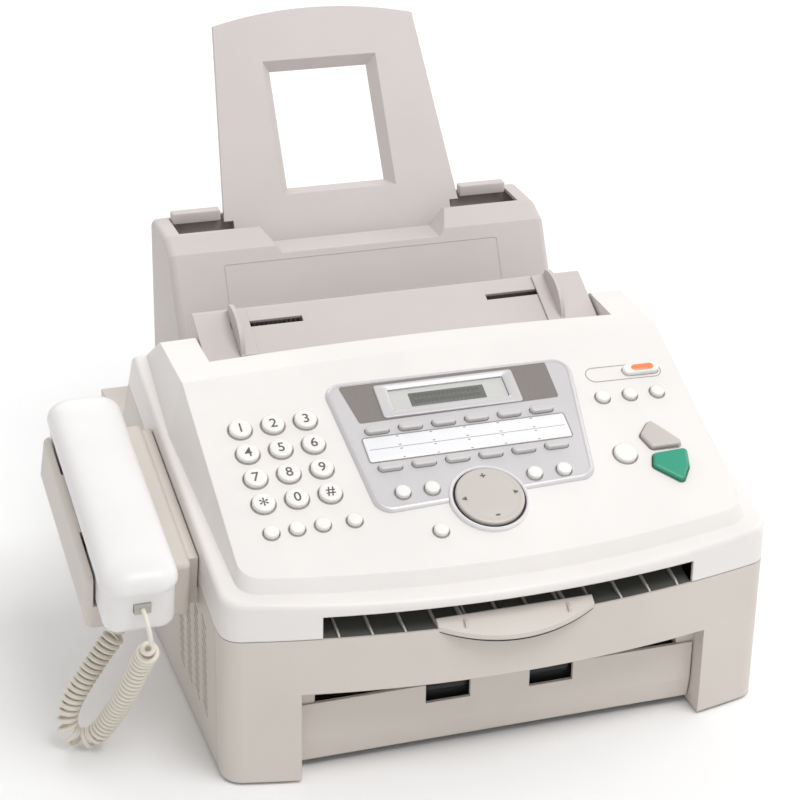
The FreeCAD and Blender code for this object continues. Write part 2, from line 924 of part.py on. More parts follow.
def cap(spec, grow, low, high):
    x, v = spec["place"]
    if "radius" in spec:
        return rod(Vector(x, -v, low), Vector(0, 0, 1), spec["radius"] + grow, high - low)
    if "size" in spec:
        width, height = spec["size"]
        return pill(x, v, width + 2 * grow, height + 2 * grow, low, high)
    points = []
    for px, pv in spec["outline"]:
        reach = math.hypot(px - x, pv - v)
        scale = 1 + grow * key_corner_spread / reach
        points.append((x + (px - x) * scale, -(v + (pv - v) * scale)))
    return rounded_prism(points, low, high, key_corner + grow)


def key_hole(spec):
    base = surface_height(spec["place"][0])
    return cap(spec, slide_clearance, base - 2 * key_depth, key_level(spec) + 2 * key_proud)


def key_shape(spec, low):
    """One cap with a flange that keeps it under the panel."""
    base = surface_height(spec["place"][0])
    flange_top = base - wall - 2 * slide_clearance
    body = cap(spec, 0, low, key_level(spec) + key_proud)
    return joined([body, cap(spec, key_flange, flange_top - key_flange_thickness, flange_top)])


def digit_names():
    return ["key_" + mark for mark in ("1", "2", "3", "4", "5", "6", "7", "8", "9", "star", "0", "hash")]


def key_sets():
    """Every key node, with the caps that it carries."""
    sets = {}
    for index, name in enumerate(digit_names()):
        place = (
            digit_first[0] + digit_pitch[0] * (index % 3),
            digit_first[1] + digit_pitch[1] * (index // 3),
        )
        sets[name] = [round_spec(place, digit_radius)]
    first_x, first_v = function_first
    functions = [(first_x + function_pitch * index, first_v) for index in range(3)]
    functions += [monitor_key, menu_key]
    sets["function_keys"] = [round_spec(place, small_radius) for place in functions]
    touch_x, touch_v = one_touch_first
    for row, name in enumerate(("one_touch_upper_keys", "one_touch_lower_keys")):
        v = touch_v + row * one_touch_row_gap
        sets[name] = [pill_spec((touch_x + one_touch_pitch * index, v), one_touch_size) for index in range(6)]
    sets["caller_keys"] = [round_spec(place, small_radius) for place in bezel_keys]
    right_x, right_v = right_first
    modes = [(right_x + right_pitch * index, right_v) for index in range(3)]
    sets["mode_keys"] = [round_spec(place, small_radius) for place in modes]
    sets["answer_key"] = [pill_spec(answer_key, answer_size)]
    sets["stop_key"] = [round_spec(stop_key, stop_radius)]
    sets["copy_start_key"] = [outline_spec(copy_outline)]
    sets["fax_start_key"] = [outline_spec(fax_outline)]
    sets["navigation_disc"] = [round_spec(disc_centre, disc_radius)]
    return sets


def comb_bars(places, low):
    """Thin webs that join the caps of one moulded comb under the panel."""
    bars = []
    for (x0, v0), (x1, v1) in zip(places, places[1:]):
        length = math.hypot(x1 - x0, v1 - v0)
        bar = box(0, length, -comb_width / 2, comb_width / 2, low, low + key_flange_thickness)
        turn = Rotation(up, math.degrees(math.atan2(v0 - v1, x1 - x0)))
        bars.append(placed(bar, Placement(Vector(x0, -v0, 0), turn)))
    return bars


def comb_places(specs):
    """The caps in turn, with a detour where the navigation disc stands between two of them."""
    places = [spec["place"] for spec in specs]
    if places == list(bezel_keys):
        detour = [(places[1][0], caller_bridge_v), (places[2][0], caller_bridge_v)]
        places = places[:2] + detour + places[2:]
    return places


def make_key(specs):
    low = min(surface_height(spec["place"][0]) for spec in specs) - key_depth
    shapes = [key_shape(spec, low) for spec in specs] + comb_bars(comb_places(specs), low)
    return placed(joined(shapes), panel_frame)


# Display trim and boards under the panel
def display_space():
    return box(display_low[0], display_high[0], -display_high[1], -display_low[1], -2 * key_depth, far / 6)


def make_panel_bezel():
    top = surface_height(0) + bezel_thickness
    outline = [(x, -v) for x, v in bezel_outline]
    plate = placed(rounded_prism(outline, 0, top, bezel_corner), panel_frame)
    holes = [key_hole(spec) for specs in key_sets().values() for spec in specs if on_bezel(spec)]
    holes.append(display_space())
    return plate.cut([cover_outside] + [placed(hole, panel_frame) for hole in holes])


def make_lcd_window():
    top = surface_height(0) + bezel_thickness - display_sink
    block = box(display_low[0], display_high[0], -display_high[1], -display_low[1], top - display_glass, top)
    return placed(block, panel_frame)


def board_top():
    return -key_depth - key_travel - board_gap


def make_lcd_module():
    top = surface_height(0) + bezel_thickness - display_sink - display_glass
    block = box(
        display_low[0] + display_gap, display_high[0] - display_gap,
        -display_high[1] + display_gap, -display_low[1] - display_gap, board_top(), top
    )
    return placed(block, panel_frame)


def make_control_board():
    """Board under the keys, hung from the panel on four posts."""
    half = -digit_first[0] + digit_radius + key_flange
    front = -menu_key[1] - 2 * small_radius
    rear = -display_low[1] + small_radius
    plate = box(-half, half, front, rear, board_top() - board_thickness, board_top())
    posts = []
    for x in (-board_post_x, board_post_x):
        for v in (display_low[1], menu_key[1]):
            height = surface_height(x) - wall / 2 - board_top()
            posts.append(rod(Vector(x, -v, board_top()), up, board_post_radius, height))
    skin = cover_outside.cut(cover_inside)
    return placed(joined([plate] + posts), panel_frame).cut(skin)


# Rear hopper
def hood_face_at(z):
    return hood_face_y + (z - hood_face_height) / math.tan(math.radians(hood_angle))


def hood_base():
    """Where the hopper's leaning face meets the sloping shoulder of the lower case."""
    lean = 1 / math.tan(math.radians(hood_angle))
    fall = (rear_deck_height - parting_at(shoulder_y)) / shoulder_run
    level = parting_at(shoulder_y) - shoulder_y * fall
    y = (hood_face_at(0) + lean * level) / (1 - lean * fall)
    return y, level + y * fall


def hood_upper_line(inset):
    """Front, crease, crest and rear corner of the hopper's section."""
    shift = inset / math.sin(math.radians(hood_angle))
    crease = hood_crease_height - inset
    crease_point = hood_face_at(crease) + shift
    return [
        (crease_point, crease),
        (crease_point + hood_round_run, hood_top - inset),
        (rear_y - inset, hood_top - inset),
    ]


def hood_outside():
    corners = [hood_base()] + hood_upper_line(0)
    corners += [(rear_y, rear_deck_height), (shoulder_y + shoulder_run, rear_deck_height)]
    block = prism_x(corners, -hood_half, hood_half)
    chosen = []
    for edge in block.Edges:
        middle = edge.valueAt((edge.FirstParameter + edge.LastParameter) / 2)
        on_end = edge.BoundBox.XLength < 0.01
        if on_end and middle.z > hood_base()[1] and middle.y < rear_y - 1:
            chosen.append(edge)
    return block.makeFillet(hood_round, chosen)


def hood_inside():
    line = hood_upper_line(wall)
    foot_z = rear_deck_height - hood_hole_sink
    foot_y = hood_base()[0] + wall / math.sin(math.radians(hood_angle))
    corners = [(foot_y, foot_z), (foot_y, hood_base()[1])] + line + [(rear_y - wall, foot_z)]
    return prism_x(corners, -hood_half + wall, hood_half - wall)


def hood_hole():
    """Opening in the lower case under the hopper."""
    front = hood_base()[0] + wall / math.sin(math.radians(hood_angle))
    half = hood_half - wall
    return box(-half, half, front, rear_y - wall, rear_deck_height - hood_hole_sink, far)


def grip_space(grow):
    """Hand recess in the hopper's front edge, open to the paper slot."""
    front = hood_face_y - hood_round_run
    low = hood_top - grip_depth - grow
    corners = [
        Vector(-grip_half_width - grow, front, hood_top + 1),
        Vector(grip_half_width + grow, front, hood_top + 1),
        Vector(grip_floor_half_width + grow, front, low),
        Vector(-grip_floor_half_width - grow, front, low),
    ]
    face = Part.Face(Part.makePolygon(corners + corners[:1]))
    return face.extrude(Vector(0, hopper_slot_front_y + wall - front - grow, 0))


def tray_ribs():
    """Two J-shaped ribs behind the paper support. It stands in their feet and leans on them."""
    back = -tray_thickness - tray_slide_gap
    foot = -tray_insert
    lip = slide_clearance + wall
    line = [
        (0, back), (foot, back), (foot, slide_clearance), (foot + tray_rib_lip, slide_clearance),
        (foot + tray_rib_lip, lip), (foot - tray_rib_foot, lip),
    ]
    corners = [tray_frame.multVec(Vector(0, along, out)) for along, out in line]
    outline = [(corner.y, corner.z) for corner in corners]
    outline += [(rear_y - wall / 2, outline[-1][1]), (rear_y - wall / 2, outline[0][1])]
    return both_sides(prism_x(outline, tray_rib_place, tray_rib_place + tray_rib_width))


def make_rear_hood():
    outside = hood_outside()
    slot_half = hood_half - hopper_slot_margin
    slot = box(-slot_half, slot_half, hopper_slot_front_y, rear_y - wall, hood_top - 2 * wall, far)
    shell = joined([outside.cut(hood_inside()), grip_space(wall).common(outside)]).cut([slot, grip_space(0)])
    return joined([shell] + tray_ribs())


# Paper support
def tray_face():
    top = tray_length
    right = Vector(tray_top_half_width, top, 0)
    left = Vector(-tray_top_half_width, top, 0)
    arc = Part.Arc(right, Vector(0, top + tray_arch, 0), left)
    corners = [
        left,
        Vector(-tray_half_width, 0, 0),
        Vector(-tray_insert_half_width, 0, 0),
        Vector(-tray_insert_half_width, -tray_insert, 0),
        Vector(tray_insert_half_width, -tray_insert, 0),
        Vector(tray_insert_half_width, 0, 0),
        Vector(tray_half_width, 0, 0),
        right,
    ]
    edges = [Part.makeLine(a, b) for a, b in zip(corners, corners[1:])] + [arc.toShape()]
    return Part.Face(Part.Wire(edges))


def window_wire(grow, height):
    half = tray_window_half_width + grow
    low = tray_window_low - grow
    high = tray_window_high + grow
    corners = ((-half, low), (half, low), (half, high), (-half, high))
    points = [Vector(x, y, height) for x, y in corners]
    return Part.makePolygon(points + points[:1])


def window_funnel(grow, top):
    """The window narrows towards the back of the support."""
    back = window_wire(grow - tray_window_taper, -tray_window_depth)
    front = window_wire(grow, top)
    return Part.makeLoft([back, front], True, True)


def make_paper_tray():
    plate = tray_face().extrude(Vector(0, 0, -tray_thickness))
    collar = window_funnel(tray_window_wall, 0)
    sheet = joined([plate, collar]).cut(window_funnel(0, 0.01))
    return placed(sheet, tray_frame)


# Document table and guides
def table_at(y):
    return table_front_height + (y - table_front_y) * math.tan(math.radians(table_angle))


def guide_slots():
    """Slots in the table for the legs of both guides over their whole travel."""
    inner = guide_rest - guide_travel - guide_thickness - slide_clearance
    outer = guide_rest + slide_clearance
    front = -guide_leg_rear - guide_leg_width - slide_clearance
    rear = -guide_leg_rear + slide_clearance
    return both_sides(box(inner, outer, front, rear, -2 * wall, wall))


def pinion_stud():
    low = rack_floor - slide_clearance - pinion_head
    stud = rod(Vector(0, pinion_y, low), up, pinion_stud_radius, -wall / 2 - low)
    return stud.fuse(rod(Vector(0, pinion_y, low), up, pinion_stud_radius + pinion_head, pinion_head))


def make_document_table():
    """Sloping table on four walls that stand on the scanner deck."""
    drop = wall / math.cos(math.radians(table_angle))
    outline = [
        (table_front_y, table_front_height),
        (table_rear_y, table_rear_height),
        (table_rear_y + wall, table_rear_height),
        (table_rear_y + wall, deck_flat),
        (table_front_y, deck_flat),
    ]
    hollow = [
        (table_front_y + wall, table_at(table_front_y + wall) - drop),
        (table_rear_y, table_rear_height - drop),
        (table_rear_y, 0),
        (table_front_y + wall, 0),
    ]
    block = prism_x(outline, -table_half, table_half)
    cavity = prism_x(hollow, -table_half + wall, table_half - wall)
    slots = [placed(slot, table_frame) for slot in guide_slots()]
    return joined([block.cut([cavity] + slots), placed(pinion_stud(), table_frame)])


def tooth_line(half, tip, root):
    """Half widths and heights of one straight-flanked tooth, from flank to flank."""
    wide = half + root_widening * gear_module
    narrow = half - tip_narrowing * gear_module
    return [(-wide, root), (-narrow, tip), (narrow, tip), (wide, root)]


def gear_outline(centre, teeth, offset):
    radius = teeth * gear_module / 2
    half = math.pi * gear_module / 4 - backlash / 2
    points = []
    for index in range(teeth):
        middle = offset + 2 * math.pi * index / teeth
        for aside, out in tooth_line(half, radius + tooth_rise, radius - tooth_drop):
            angle = middle + aside / radius
            points.append((centre[0] + out * math.cos(angle), centre[1] + out * math.sin(angle)))
    return points


def rack(side, level):
    """Rack of the left guide, on one side of the pinion and at one of two levels."""
    pitch = math.pi * gear_module
    line = pinion_y + side * pinion_radius
    tip = line - side * tooth_rise
    root = line + side * tooth_drop
    back = root + side * rack_back
    start = -guide_rest
    end = guide_travel + 4 * pitch
    points = [(start, back), (start, root)]
    for index in range(math.ceil(start / pitch), math.floor(end / pitch)):
        middle = (index + 0.5) * pitch
        for aside, y in tooth_line(pitch / 4 - backlash / 2, tip, root):
            points.append((middle + aside, y))
    points += [(end, root), (end, back)]
    return prism_z(points, level, level + rack_height)


def guide_shape(side, level):
    """Left guide: fin and foot above the table, a leg through it, and a rack that the leg carries."""
    outer = -guide_rest
    inner = outer + guide_thickness
    base = slide_clearance
    arc = Part.Arc(
        Vector(outer, -guide_length, base),
        Vector(outer, -guide_length / 2, guide_height),
        Vector(outer, 0, base + 2 * guide_thickness),
    )
    corner = Vector(outer, 0, base)
    edges = [arc.toShape(), Part.makeLine(arc.EndPoint, corner), Part.makeLine(corner, arc.StartPoint)]
    fin = Part.Face(Part.Wire(edges)).extrude(Vector(guide_thickness, 0, 0))
    foot = box(outer, inner + guide_foot, -guide_length, 0, base, base + wall / 2)
    leg_rear = -guide_leg_rear
    leg_front = leg_rear - guide_leg_width
    leg = box(outer, inner, leg_front, leg_rear, level, base + wall / 2)
    rack_edge = pinion_y + side * rack_reach
    tie = box(outer, inner, min(leg_front, rack_edge), max(leg_rear, rack_edge), level, level + rack_height)
    return joined([fin, foot, leg, tie, rack(side, level)])


def make_left_guide():
    return placed(guide_shape(1, rack_high - rack_height), table_frame)


def make_right_guide():
    guide = guide_shape(-1, rack_floor).mirror(Vector(0, 0, 0), across)
    return placed(guide, table_frame)


def make_guide_pinion():
    wheel = prism_z(gear_outline((0, pinion_y), pinion_teeth, 0), rack_floor, rack_high)
    bore = rod(Vector(0, pinion_y, -far), up, pinion_stud_radius + running_clearance, 2 * far)
    return placed(wheel.cut(bore), table_frame)


# Scanner deck
def deck_at(y):
    return deck_front_height + (y - deck_front_y) * deck_slope


def deck_frame(y):
    return Placement(Vector(0, y, deck_at(y)), Rotation(across, panel_angle))


def sensor_box(grow):
    half = sensor_half_length + grow
    return box(-half, half, -sensor_width / 2 - grow, sensor_width / 2 + grow, -sensor_height, grow)


def sensor_hangers():
    """Two brackets under the deck that carry the ends of the sensor."""
    inside = sensor_half_length + slide_clearance
    low = -sensor_height - wall
    half = sensor_width / 2
    ledge = box(sensor_half_length - bearing_width, inside + wall, -half, half, low, -sensor_height)
    post = box(inside, inside + wall, -half, half, low, -deck_thickness / 2)
    return [placed(shape, deck_frame(sensor_y)) for shape in both_sides(ledge.fuse(post))]


def feed_bearings():
    outside = deck_half - bearing_width
    half = shaft_radius + wall
    low = -feed_roller_sink - shaft_radius - wall
    block = box(outside - bearing_width, outside, -half, half, low, -deck_thickness / 2)
    return [placed(shape, deck_frame(feed_roller_y)) for shape in both_sides(block)]


def feed_rod(radius, half):
    axis = deck_frame(feed_roller_y).multVec(Vector(0, 0, -feed_roller_sink))
    return rod(Vector(-half, axis.y, axis.z), across, radius, 2 * half)


def make_feed_roller():
    shaft = feed_rod(shaft_radius, deck_half - bearing_width)
    return joined([shaft, feed_rod(feed_roller_radius, feed_roller_half_width)])


def make_image_sensor():
    return placed(sensor_box(0), deck_frame(sensor_y))


def rack_room():
    """Space under the document table that the guides' racks and the pinion's head take."""
    low = rack_floor - 2 * slide_clearance - pinion_head
    half = guide_rest + slide_clearance
    front = pinion_y - rack_reach - slide_clearance
    return placed(box(-half, half, front, pinion_y + rack_reach + slide_clearance, low, 0), table_frame)


def make_scanner_deck():
    outline = [
        (deck_front_y, deck_front_height),
        (deck_bend_y, deck_flat),
        (deck_rear_y, deck_flat),
        (deck_rear_y, deck_low),
        (deck_low_bend_y, deck_low),
        (deck_front_y, deck_front_height - deck_drop),
    ]
    plate = prism_x(outline, -deck_half, deck_half)
    room = feed_roller_radius + wall
    half = feed_roller_half_width + wall
    window = placed(box(-half, half, -room, room, -far / 6, far / 6), deck_frame(feed_roller_y))
    pocket = placed(sensor_box(slide_clearance), deck_frame(sensor_y))
    deck = joined([plate.cut([window, pocket, rack_room()])] + sensor_hangers() + feed_bearings())
    return deck.cut(feed_rod(shaft_radius + running_clearance, deck_half))


# Gear train and printing parts
def axis_rod(axis, radius, x0, x1):
    return rod(Vector(x0, axis[0], axis[1]), across, radius, x1 - x0)


def meeting_point(first, first_reach, second, second_reach):
    """Upper point at the given distances from two axes."""
    dy = second[0] - first[0]
    dz = second[1] - first[1]
    span = math.hypot(dy, dz)
    along = (first_reach ** 2 - second_reach ** 2 + span ** 2) / (2 * span)
    aside = math.sqrt(first_reach ** 2 - along ** 2)
    sign = 1 if dy > 0 else -1
    return (
        first[0] + along * dy / span - sign * aside * dz / span,
        first[1] + along * dz / span + sign * aside * dy / span,
    )


def mesh_offset(first_offset, first_teeth, first_axis, second_teeth, second_axis):
    """Turns the second gear so that one of its gaps meets a tooth of the first."""
    angle = math.atan2(second_axis[1] - first_axis[1], second_axis[0] - first_axis[0])
    return angle + math.pi - ((first_offset - angle) * first_teeth + math.pi) / second_teeth


def pitch_radius(teeth):
    return teeth * gear_module / 2


def reach(first_teeth, second_teeth):
    return pitch_radius(first_teeth) + pitch_radius(second_teeth)


idler_axis = meeting_point(
    drum_axis, reach(drum_teeth, idler_teeth), fuser_axis, reach(fuser_teeth, idler_teeth)
)
exit_idler_axis = meeting_point(
    fuser_axis, reach(fuser_teeth, exit_idler_teeth), exit_axis, reach(exit_teeth, exit_idler_teeth)
)
motor_axis = (
    drum_axis[0] + reach(drum_teeth, motor_teeth) * math.cos(math.radians(motor_mesh_angle)),
    drum_axis[1] + reach(drum_teeth, motor_teeth) * math.sin(math.radians(motor_mesh_angle)),
)
pressure_axis = (fuser_axis[0], fuser_axis[1] - fuser_radius - pressure_radius - roller_gap)
idler_offset = mesh_offset(0, drum_teeth, drum_axis, idler_teeth, idler_axis)
fuser_offset = mesh_offset(idler_offset, idler_teeth, idler_axis, fuser_teeth, fuser_axis)
exit_idler_offset = mesh_offset(fuser_offset, fuser_teeth, fuser_axis, exit_idler_teeth, exit_idler_axis)
exit_offset = mesh_offset(exit_idler_offset, exit_idler_teeth, exit_idler_axis, exit_teeth, exit_axis)
motor_offset = mesh_offset(0, drum_teeth, drum_axis, motor_teeth, motor_axis)


def gear(axis, teeth, offset):
    return prism_x(gear_outline(axis, teeth, offset), gear_x, gear_x + gear_width)


def loose_gear(axis, teeth, offset):
    return gear(axis, teeth, offset).cut(axis_rod(axis, shaft_radius + running_clearance, -far, far))


def roller(axis, radius, half):
    return [axis_rod(axis, shaft_radius, -shaft_end, shaft_end), axis_rod(axis, radius, -half, half)]


def geared_roller(axis, radius, teeth, offset):
    return joined(roller(axis, radius, roller_half) + [gear(axis, teeth, offset)])


def make_motor():
    middle = motor_x + motor_length / 2
    body = axis_rod(motor_axis, motor_radius, motor_x, motor_x + motor_length)
    return body.cut(axis_rod(motor_axis, motor_shaft_radius + running_clearance, motor_x, middle))


def make_motor_pinion():
    shaft = axis_rod(motor_axis, motor_shaft_radius, gear_x, motor_x + motor_length / 2 - gear_gap)
    return joined([shaft, gear(motor_axis, motor_teeth, motor_offset)])


def toner_front():
    return drum_axis[0] + drum_radius + roller_end_gap


def make_toner_cartridge():
    half = chassis_half - toner_end_gap
    front = toner_front()
    depth, height = toner_size
    block = rounded_box(-half, half, front, front + depth, toner_low, toner_low + height, toner_round)
    width, length, sink = toner_grip
    rear = front + depth - toner_round
    return block.cut(box(-width / 2, width / 2, rear - length, rear, toner_low + height - sink, far))


def make_laser_unit():
    half = chassis_half - laser_end_gap
    depth, height = laser_size
    top = laser_low + height
    block = rounded_box(
        -half, half, laser_front_y, laser_front_y + depth, laser_low, top, laser_round
    )
    margin, sink, tall = laser_window
    low = laser_low + tall
    window = box(margin - half, half - margin, laser_front_y, laser_front_y + sink, low, low + tall)
    motor_cap = rod(Vector(0, laser_front_y + depth / 2, top), up, laser_cap[0], laser_cap[1])
    return joined([block.cut(window), motor_cap])


def cross_shelf(front, depth, top):
    return box(-chassis_half, chassis_half, front, front + depth, top - chassis_sheet, top)


def motor_posts():
    z = motor_axis[1] + motor_radius / 2
    shift = motor_radius * math.cos(math.radians(motor_post_angle)) - motor_post_radius
    axes = [(motor_axis[0] + side * shift, z) for side in (-1, 1)]
    return [axis_rod(axis, motor_post_radius, chassis_half, motor_x) for axis in axes]


def make_chassis():
    """Two side plates on a pan, with cross shelves for the cartridge and the laser unit."""
    outline = [
        (chassis_front_y, floor_top),
        (chassis_rear_y, floor_top),
        (chassis_rear_y, chassis_rear_height),
        (chassis_neck_y, chassis_rear_height),
        (chassis_neck_y, chassis_neck_height),
        (pan_rear_y, chassis_neck_height),
        (pan_rear_y, deck_low),
        (deck_low_bend_y, deck_low),
        (chassis_front_y, deck_at(chassis_front_y) - deck_drop),
    ]
    plates = both_sides(prism_x(outline, chassis_half, plate_outside))
    pan = cross_shelf(chassis_front_y, pan_rear_y - chassis_front_y, floor_top + chassis_sheet)
    toner_shelf = cross_shelf(toner_front(), toner_size[0], toner_low)
    laser_shelf = cross_shelf(laser_front_y, laser_size[0], laser_low)
    stud_axes = (idler_axis, exit_idler_axis)
    studs = [axis_rod(axis, shaft_radius, chassis_half, gear_x + gear_width) for axis in stud_axes]
    bores = []
    for axis in (drum_axis, fuser_axis, pressure_axis, exit_axis, pickup_axis):
        bores.append(axis_rod(axis, shaft_radius + running_clearance, -far, far))
    for x, y in screw_spots():
        bores.append(rod(Vector(x, y, 0), up, screw_radius + running_clearance, 2 * floor_top))
    return joined(plates + [pan, toner_shelf, laser_shelf] + studs + motor_posts()).cut(bores)


# Main board, feet and screws
def board_parts(front, top):
    """Transformer, capacitors and chips that stand on the main board."""
    parts = []
    for x, y in capacitor_places:
        parts.append(rod(Vector(x, front + y, top), up, capacitor_size[0], capacitor_size[1]))
    blocks = [(transformer_place, transformer_size)] + [(place, chip_size) for place in chip_places]
    for (x, y), (width, depth, height) in blocks:
        corner = Vector(x - width / 2, front + y - depth / 2, top)
        parts.append(Part.makeBox(width, depth, height, corner))
    return parts


def make_main_board():
    front = pan_rear_y + board_front_gap
    rear = rear_y - wall - board_rear_gap
    half = chassis_half - board_side_gap
    low = floor_top + board_leg_height
    top = low + board_thickness
    shapes = [box(-half, half, front, rear, low, top)] + board_parts(front, top)
    inset = 2 * board_leg_radius
    for x in (-half + inset, half - inset):
        for y in (front + inset, rear - inset):
            shapes.append(rod(Vector(x, y, floor_top), up, board_leg_radius, board_leg_height))
    holes = []
    for socket in socket_list():
        inside = rear - socket_depth
        shapes.append(socket_box(socket, 0, inside, rear_y))
        x = socket[0]
        shapes.append(box(x - socket_post, x + socket_post, inside, rear, top, socket_z - socket[2] / 2))
        holes.append(socket_box(socket, -socket_wall, inside + socket_wall, rear_y + wall))
    return joined(shapes).cut(holes)


def make_feet():
    return Part.makeCompound([rod(Vector(x, y, 0), up, foot_radius, foot_height) for x, y in foot_spots()])


def make_screws():
    screws = []
    shank = floor_top + 2 * chassis_sheet - foot_height
    for x, y in screw_spots():
        head = rod(Vector(x, y, foot_height - screw_head_height), up, screw_head_radius, screw_head_height)
        screws.append(joined([head, rod(Vector(x, y, foot_height), up, screw_radius, shank)]))
    return Part.makeCompound(screws)


# Handset cradle
def cradle_block():
    outer = -cradle_gap - cradle_width
    outline = [
        (0, cradle_bottom),
        (0, cradle_deck),
        (cradle_length - cradle_rake, cradle_deck),
        (cradle_length, cradle_bottom),
    ]
    block = prism_x(outline, outer, -cradle_gap)
    return block.makeFillet(cradle_round, block.Edges)


def cradle_bracket_shapes():
    """Arm beside the body. Only its foot, under the cover's skirt, touches the lower case."""
    start, end, high = cradle_bracket
    arm = box(-cradle_gap - cradle_round, -cradle_skirt_gap, start, end, -cradle_foot_high, high)
    foot = box(-cradle_gap, 0, start, end, -cradle_foot_high, cradle_foot_high)
    return [arm, foot]


def hook_space(grow, low, high):
    half = hook_size[0] / 2 + grow
    half_length = hook_size[1] / 2 + grow
    front = hook_u - half_length
    return box(handset_x - half, handset_x + half, front, front + 2 * half_length, low, high)


def make_cradle():
    """Block with two open cups, hollow from below, and a hole for the end of the cord."""
    left = wall - cradle_gap - cradle_width
    right = -cradle_gap - wall
    cup_left = handset_x - cup_half_width
    cup_right = handset_x + cup_half_width
    deep = cradle_bottom - wall
    rear_room = rear_cup_start - wall
    cuts = [
        box(cup_left, cup_right, -far, front_cup_end, cup_floor, far),
        box(cup_left, cup_right, rear_cup_start, far, cup_floor, far),
        box(left, right, front_cup_end + wall, rear_room, deep, cradle_deck - wall),
        box(left, right, rear_room, cradle_length - cradle_rake, deep, cup_floor - wall),
        hook_space(slide_clearance, deep, far),
    ]
    cradle = joined([cradle_block()] + cradle_bracket_shapes()).cut(cuts)
    end = Vector(*cord_route[-1])
    hole = rod(end - Vector(0, 0, 2 * cord_sink), up, wire_diameter / 2 + plug_clearance, 2 * cord_sink)
    return placed(cradle, cradle_frame).cut(hole)


def make_hook():
    """Plunger in the rear cup that the handset holds down."""
    flange_top = cup_floor - wall - hook_travel - slide_clearance
    stem = hook_space(0, flange_top - hook_flange, cup_floor)
    return placed(joined([stem, hook_space(hook_flange, flange_top - hook_flange, flange_top)]), cradle_frame)


# Handset
def handset_block(start, end, low, high, inset):
    half = handset_half_width - inset
    return box(handset_x - half, handset_x + half, start + inset, end - inset, low, high)


def softened(block, corner, edge_round, level):
    """Rounds a block's upright corners and then the edges of its top or bottom."""
    upright = [edge for edge in block.Edges if abs(edge.tangentAt(edge.FirstParameter).z) > 0.99]
    block = block.makeFillet(corner, upright)
    rim = [edge for edge in block.Edges if abs(edge.BoundBox.Center.z - level) < 0.01]
    return block.makeFillet(edge_round, rim)


def make_handset_upper():
    block = handset_block(handset_front, handset_end, handset_split, handset_top, 0)
    block = softened(block, handset_corner, handset_round, handset_top)
    hollow = handset_block(
        handset_front, handset_end, handset_split - 1, handset_top - handset_round, handset_corner
    )
    return placed(block.cut(hollow), cradle_frame)


def plug_box(grow, length):
    width, _, height = plug_size
    return box(
        handset_x - width / 2 - grow, handset_x + width / 2 + grow, plug_front, plug_front + length,
        plug_w - height / 2 - grow, plug_w + height / 2 + grow
    )


def make_plug():
    return placed(plug_box(0, plug_size[1]), cradle_frame)


def handset_ends():
    """Length of the mouth block and of the ear block, clear of the cups' inner ends."""
    return ((handset_front, front_cup_end - cup_gap), (rear_cup_start + cup_gap, handset_end))


def make_handset_lower():
    handle_low = cradle_deck + handset_gap
    handle = handset_block(handset_front, handset_end, handle_low, handset_split, handset_inset)
    upright = [edge for edge in handle.Edges if abs(edge.tangentAt(edge.FirstParameter).z) > 0.99]
    shapes = [handle.makeFillet(handset_corner - handset_inset, upright)]
    hollows = []
    for start, end in handset_ends():
        block = handset_block(start, end, handset_low, handset_split, handset_inset)
        shapes.append(softened(block, handset_corner - handset_inset, handset_round / 2, handset_low))
        low = handset_low + handset_wall
        hollows.append(handset_block(start, end, low, plug_w - plug_size[2], handset_corner))
    jack = plug_box(plug_clearance, plug_size[1])
    return placed(joined(shapes).cut(hollows + [jack]), cradle_frame)


# Curly cord
def route_line():
    """Smooth line that its route's points draw in, from the first point to the last."""
    poles = [Vector(*point) for point in cord_route]
    spans = len(poles) - 2
    line = Part.BSplineCurve()
    line.buildFromPolesMultsKnots(poles, [3] + [1] * (spans - 1) + [3], list(range(spans + 1)), False, 2)
    return line


def ease(value):
    value = min(1.0, max(0.0, value))
    return value * value * (3 - 2 * value)


def cord_samples():
    """Centre points of the cord: straight ends, with curls that grow and shrink between them."""
    line = route_line()
    total = line.length()
    normal = Vector(across)
    points = []
    along = 0.0
    turn = 0.0
    while along < total:
        place = line.parameterAtDistance(along, line.FirstParameter)
        tangent = Vector(line.tangent(place)[0]).normalize()
        normal = (normal - tangent * normal.dot(tangent)).normalize()
        side = tangent.cross(normal)
        swell = ease(min(along - coil_start, total - coil_end - along) / curl_ramp)
        radius = curl_radius * swell
        points.append(line.value(place) + normal * radius * math.cos(turn) + side * radius * math.sin(turn))
        bent = (wire_diameter + curl_gap) / (1 - curl_radius * line.curvature(place))
        pitch = max(curl_pitch, bent) + (curl_lead - curl_pitch) * (1 - swell)
        along += pitch / samples_per_turn
        turn += 2 * math.pi / samples_per_turn
    points.append(line.value(line.LastParameter))
    return points


def arc_edge(start, tangent, end):
    """Arc from a point along a tangent to a second point."""
    chord = end - start
    length = chord.Length
    chord.normalize()
    along = max(-1.0, min(1.0, tangent.dot(chord)))
    aside = tangent - chord * along
    if aside.Length < 1e-6:
        return Part.makeLine(start, end)
    bulge = length / 2 * math.tan(math.acos(along) / 2)
    middle = (start + end) * 0.5 + aside.normalize() * bulge
    return Part.Arc(start, middle, end).toShape()


def biarc(start, start_tangent, end, end_tangent):
    """Two arcs that leave one point and reach another along the given tangents."""
    span = end - start
    both = start_tangent + end_tangent
    across_span = span.dot(both)
    spread = 2 * (1 - start_tangent.dot(end_tangent))
    if spread < 1e-9:
        reach_out = span.dot(span) / (2 * across_span)
    else:
        reach_out = (math.sqrt(across_span ** 2 + spread * span.dot(span)) - across_span) / spread
    joint = (start + end + (start_tangent - end_tangent) * reach_out) * 0.5
    second = arc_edge(end, end_tangent * -1, joint)
    second.reverse()
    return [arc_edge(start, start_tangent, joint), second]


